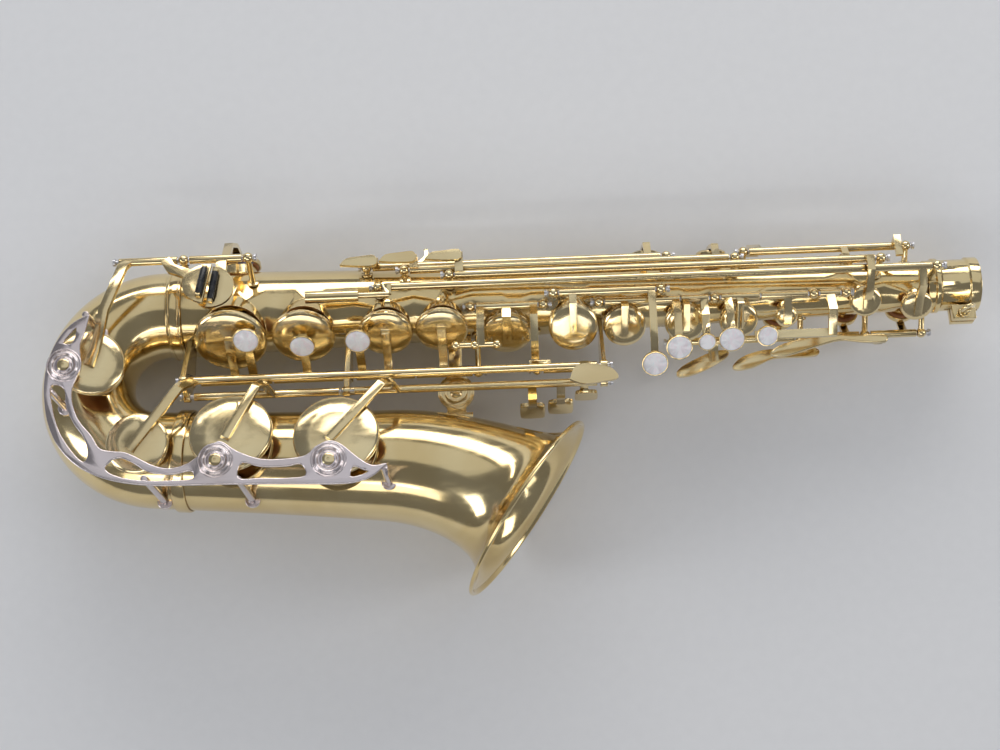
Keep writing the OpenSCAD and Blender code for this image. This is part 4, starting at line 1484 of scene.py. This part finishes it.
def bead_tree() -> NodeTree:
    """A tree that lays a round bead along every loop of edges.

    Returns:
        The tree.
    """
    made = NodeTree("round_bead")
    made.value("Bead Radius", "NodeSocketFloat")
    made.value("Bead Sides", "NodeSocketInt")
    made.value("Finish", "NodeSocketMaterial")
    loops = made.node("GeometryNodeMeshToCurve", None, {"Mesh": "Geometry"})
    section = made.node("GeometryNodeCurvePrimitiveCircle", {"mode": "RADIUS"},
                        {"Resolution": "Bead Sides", "Radius": "Bead Radius"})
    solid = made.node("GeometryNodeCurveToMesh", None,
                      {"Curve": loops.outputs[0], "Profile Curve": section.outputs[0]})
    made.close(solid.outputs[0])
    return made


def screw_tree(sides: int = 24, blade_share: float = 2.4, lift_share: float = 0.6) -> NodeTree:
    """A tree that sets a slotted screw head on every point, facing along the point's own direction.

    Args:
        sides: sides of the head.
        blade_share: length of the blade that cuts the slot, in head radii.
        lift_share: how far the blade is lifted, in head heights.

    Returns:
        The tree.
    """
    made = NodeTree("slotted_screw")
    made.value("Head Radius", "NodeSocketFloat")
    made.value("Head Height", "NodeSocketFloat")
    made.value("Slot Width", "NodeSocketFloat")
    made.value("Finish", "NodeSocketMaterial")
    head = made.node("GeometryNodeMeshCylinder", None,
                     {"Vertices": sides, "Radius": "Head Radius", "Depth": "Head Height"})
    span = made.node("ShaderNodeMath", {"operation": "MULTIPLY"}, {0: "Head Radius", 1: blade_share})
    size = made.node("ShaderNodeCombineXYZ", None,
                     {"X": span.outputs[0], "Y": "Slot Width", "Z": "Head Height"})
    blade = made.node("GeometryNodeMeshCube", None, {"Size": size.outputs[0]})
    lift = made.node("ShaderNodeMath", {"operation": "MULTIPLY"}, {0: "Head Height", 1: lift_share})
    rise = made.node("ShaderNodeCombineXYZ", None, {"Z": lift.outputs[0]})
    lifted = made.node("GeometryNodeTransform", None,
                       {"Geometry": blade.outputs[0], "Translation": rise.outputs[0]})
    slotted = made.node("GeometryNodeMeshBoolean", {"operation": "DIFFERENCE", "solver": "EXACT"},
                        {"Mesh 1": head.outputs[0], "Mesh 2": lifted.outputs[0]})
    facing = made.node("GeometryNodeInputNamedAttribute", {"data_type": "FLOAT_VECTOR"},
                       {"Name": FACING})
    aligned = made.node("FunctionNodeAlignRotationToVector", {"axis": "Z"},
                        {"Vector": facing.outputs[0]})
    set_on = made.node("GeometryNodeInstanceOnPoints", None,
                       {"Points": "Geometry", "Instance": slotted.outputs[0],
                        "Rotation": aligned.outputs[0]})
    made.close(set_on.outputs[0])
    return made


def loop_mesh(name: str, loops: Iterable[Sequence[Vector]]) -> bpy.types.Mesh:
    """Closed edge loops in instrument millimetres, as a mesh at rest.

    Args:
        name: the mesh's name.
        loops: points of each loop.

    Returns:
        The mesh of edges.
    """
    points: list[Vector] = []
    edges: list[tuple[int, int]] = []
    for loop in loops:
        start, count = len(points), len(loop)
        points += [POSE.matrix() @ p for p in loop]
        edges += [(start + k, start + (k + 1) % count) for k in range(count)]
    mesh = bpy.data.meshes.new(name)
    mesh.from_pydata(points, edges, [])
    return mesh


def circle(place: Matrix, radius: float, height: float, count: int = 64) -> list[Vector]:
    """A circle about a place's z axis.

    Args:
        place: the circle's frame.
        radius: its radius.
        height: its height along z.
        count: its points.

    Returns:
        The points.
    """
    turns = (2.0 * math.pi * k / count for k in range(count))
    return [place @ Vector((radius * math.cos(t), radius * math.sin(t), height)) for t in turns]


@dataclass
class Beads:
    """Round beads: on the foot of each cup, on the bumper seats and on the ferrules."""

    finishes: Finishes
    cup_bead: float = 0.42
    cup_inset: float = 0.12
    cup_height: float = 1.62
    seat_bead: float = 0.55
    seat_z: float = 61.3
    seat_rings: tuple[Pair, ...] = ((7.15, 0.0), (9.5, -0.7))
    band_bead: float = 0.5
    band_out: float = 1.35
    band_places: Pair = (-5.2, 0.2)
    band_points: int = 96
    bead_sides: int = 10
    sharp: float = 60.0

    def build(self) -> None:
        """Lays the beads: a piece for each cup, one for the bumper seats and one for the ferrules."""
        tree = bead_tree()
        for cup in CUPS:
            ring = circle(cup.place(), cup.radius - self.cup_inset, self.cup_height)
            self._lay(tree, cup.name + "_cup_bead", cup.body, [ring], self.cup_bead, self.finishes.keys)
        seats = []
        for x, y in BUMPERS:
            place = Matrix.Translation((x, y, self.seat_z))
            seats += [circle(place, radius, height) for radius, height in self.seat_rings]
        self._lay(tree, "bumper_seat_beads", "horn", seats, self.seat_bead, self.finishes.guard)
        band_r = LINES.foot_r + self.band_out
        bands = [circle(self._across(x), band_r, 0.0, self.band_points) for x in self.band_places]
        self._lay(tree, "ferrule_beads", "horn", bands, self.band_bead, self.finishes.shell)

    @staticmethod
    def _across(x: float) -> Matrix:
        """A frame whose z axis runs along the tube at x."""
        return Matrix.Translation((x, 0.0, 0.0)) @ turned(90.0, "Y")

    def _lay(self, tree: NodeTree, name: str, body: str, loops: Sequence[Sequence[Vector]], radius: float,
             finish: bpy.types.Material) -> None:
        """Lays one set of beads.

        Args:
            tree: the bead tree.
            name: the piece's name.
            body: the body it rides on.
            loops: its loops in instrument millimetres.
            radius: the bead's radius in mm.
            finish: its material.
        """
        values = {"Bead Radius": radius * MM, "Bead Sides": self.bead_sides, "Finish": finish}
        piece = tree.grow(name, loop_mesh(name, loops), values, self.sharp)
        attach(piece, body)
        LOG.info("bead %s", name)


@dataclass
class RodScrews:
    """Slotted screw heads on the ends of the hinge rods; an end that a cup swings past has none."""

    finishes: Finishes
    rods: tuple[tuple[Hinge, Optional[float], Optional[float]], ...] = (
        (Hinge.LOW, 3.4, 181.5), (Hinge.LOW, 209.5, 255.2), (Hinge.UP, None, 221.5),
        (Hinge.UP, 247.5, None), (Hinge.G, 220.5, 291.0), (Hinge.F_SHARP, 117.5, 453.5),
        (Hinge.HIGH_E, 159.5, 421.5), (Hinge.SIDE_C, 132.5, 336.5), (Hinge.SIDE_B, 109.5, 296.5),
        (Hinge.LITTLE, -33.0, 48.5), (Hinge.OCTAVE, 336.5, 441.1), (Hinge.PALM, 293.5, 453.5),
        (Hinge.C_SHARP, 3.4, 255.2), (Hinge.LOW_B, 3.4, 255.2), (Hinge.LOW_B_FLAT, 98.0, 255.2))
    head_r: float = 2.15
    head_h: float = 1.0
    slot_w: float = 0.5
    proud: float = 1.1

    def build(self) -> None:
        """Sets the screw heads on the ends of the rods."""
        points, facing = [], []
        turn = POSE.matrix().to_3x3().normalized()
        for line, start, stop in self.rods:
            y, z = line.value
            for end, way in ((start, -1.0), (stop, 1.0)):
                if end is not None:
                    points.append(POSE.matrix() @ Vector((end + way * self.proud, y, z)))
                    facing.append(turn @ Vector((way, 0.0, 0.0)))
        mesh = bpy.data.meshes.new("rod_screw_heads")
        mesh.from_pydata(points, [], [])
        along = mesh.attributes.new(FACING, "FLOAT_VECTOR", "POINT")
        along.data.foreach_set("vector", [c for v in facing for c in v])
        values = {"Head Radius": self.head_r * MM, "Head Height": self.head_h * MM,
                  "Slot Width": self.slot_w * MM, "Finish": self.finishes.steel}
        piece = screw_tree().grow("rod_screw_heads", mesh, values)
        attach(piece, "horn")
        LOG.info("screw heads: %d", len(points))


# Stage


@dataclass(frozen=True)
class PhotoCamera:
    """The camera at the photograph's place, for an image of 1000 by 750."""

    place: Place = (-4.11, -70.18, 935.97)
    tilt: float = 5.839
    lean: float = 0.457
    yaw: float = -2.179
    lens: float = 54.0
    sensor: float = 36.0
    clip: Pair = (0.01, 50.0)

    def build(self) -> None:
        """Makes the camera and hands it to the scene."""
        data = bpy.data.cameras.new("photo_camera")
        data.lens, data.sensor_width = self.lens, self.sensor
        data.clip_start, data.clip_end = self.clip
        camera = put("photo_camera", data)
        turn = turned(self.yaw, "Z") @ turned(self.tilt, "X") @ turned(self.lean, "Y")
        camera.matrix_world = Matrix.Translation(Vector(self.place) * MM) @ turn
        bpy.context.scene.camera = camera


@dataclass(frozen=True)
class Softbox:
    """A soft area lamp: where it hangs, its size, power and colour."""

    name: str
    place: Place
    size: Pair
    power: float
    colour: Colour
    aim: Place = (0.0, 0.0, 0.05)

    def build(self) -> None:
        """Hangs the lamp, facing the object."""
        data = bpy.data.lights.new(self.name, "AREA")
        data.shape, data.size, data.size_y = "RECTANGLE", self.size[0], self.size[1]
        data.energy, data.color = self.power, self.colour
        place = Vector(self.place)
        look = (Vector(self.aim) - place).to_track_quat("-Z", "Y")
        put(self.name, data).matrix_world = Matrix.Translation(place) @ look.to_matrix().to_4x4()


@dataclass
class Stage:
    """Floor, soft light and world."""

    finishes: Finishes
    floor_size: float = 6.0
    softboxes: tuple[Softbox, ...] = (
        Softbox("overhead_box", (0.2, 0.95, 1.9), (2.6, 1.6), 5.5, (0.94, 0.97, 1.0)),
        Softbox("back_box", (0.3, 2.3, 1.05), (2.4, 0.9), 21.0, (1.0, 0.98, 0.95)),
        Softbox("front_box", (-0.4, -1.5, 1.4), (2.0, 0.7), 8.0, (1.0, 0.97, 0.93)),
        Softbox("back_strip", (0.0, 1.3, 0.5), (2.2, 0.12), 4.0, (1.0, 0.98, 0.95)),
        Softbox("front_strip", (0.0, -1.3, 1.62), (2.2, 0.10), 2.5, (0.97, 0.98, 1.0)),
        Softbox("neck_box", (1.6, 0.0, 0.9), (0.6, 1.0), 6.0, (1.0, 0.98, 0.95)),
        Softbox("bow_box", (-1.6, -0.3, 1.0), (0.5, 0.9), 6.0, (0.95, 0.97, 1.0)))
    sky: Colour = (0.17, 0.175, 0.19)

    def build(self) -> None:
        """Makes the stage."""
        half = self.floor_size / 2.0
        mesh = bpy.data.meshes.new("pale_floor")
        corners = [(-half, -half, 0.0), (half, -half, 0.0), (half, half, 0.0), (-half, half, 0.0)]
        mesh.from_pydata(corners, [], [(0, 1, 2, 3)])
        mesh.materials.append(self.finishes.floor)
        floor = put("pale_floor", mesh)
        for box in self.softboxes:
            box.build()
        world = bpy.data.worlds.new("soft_sky")
        world.use_nodes = True
        backdrop = world.node_tree.nodes["Background"]
        backdrop.inputs["Color"].default_value = (*self.sky, 1.0)
        backdrop.inputs["Strength"].default_value = 1.0
        bpy.context.scene.world = world
        bpy.context.scene.view_settings.view_transform = "Standard"


def save_sizes() -> None:
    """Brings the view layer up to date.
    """
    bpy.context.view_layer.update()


def main() -> None:
    """Builds the dressed saxophone on its stage."""
    logging.basicConfig(level=logging.INFO, format="%(name)s: %(message)s")
    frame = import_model()
    PhotoCamera().build()
    finishes = Finishes()
    Shells(finishes).build()
    Pads(finishes).build()
    FeltBumpers(finishes).build()
    Wardrobe(finishes, frame["nodes"]).build()
    Beads(finishes).build()
    RodScrews(finishes).build()
    Stage(finishes).build()
    save_sizes()


if __name__ == "__main__":
    main()
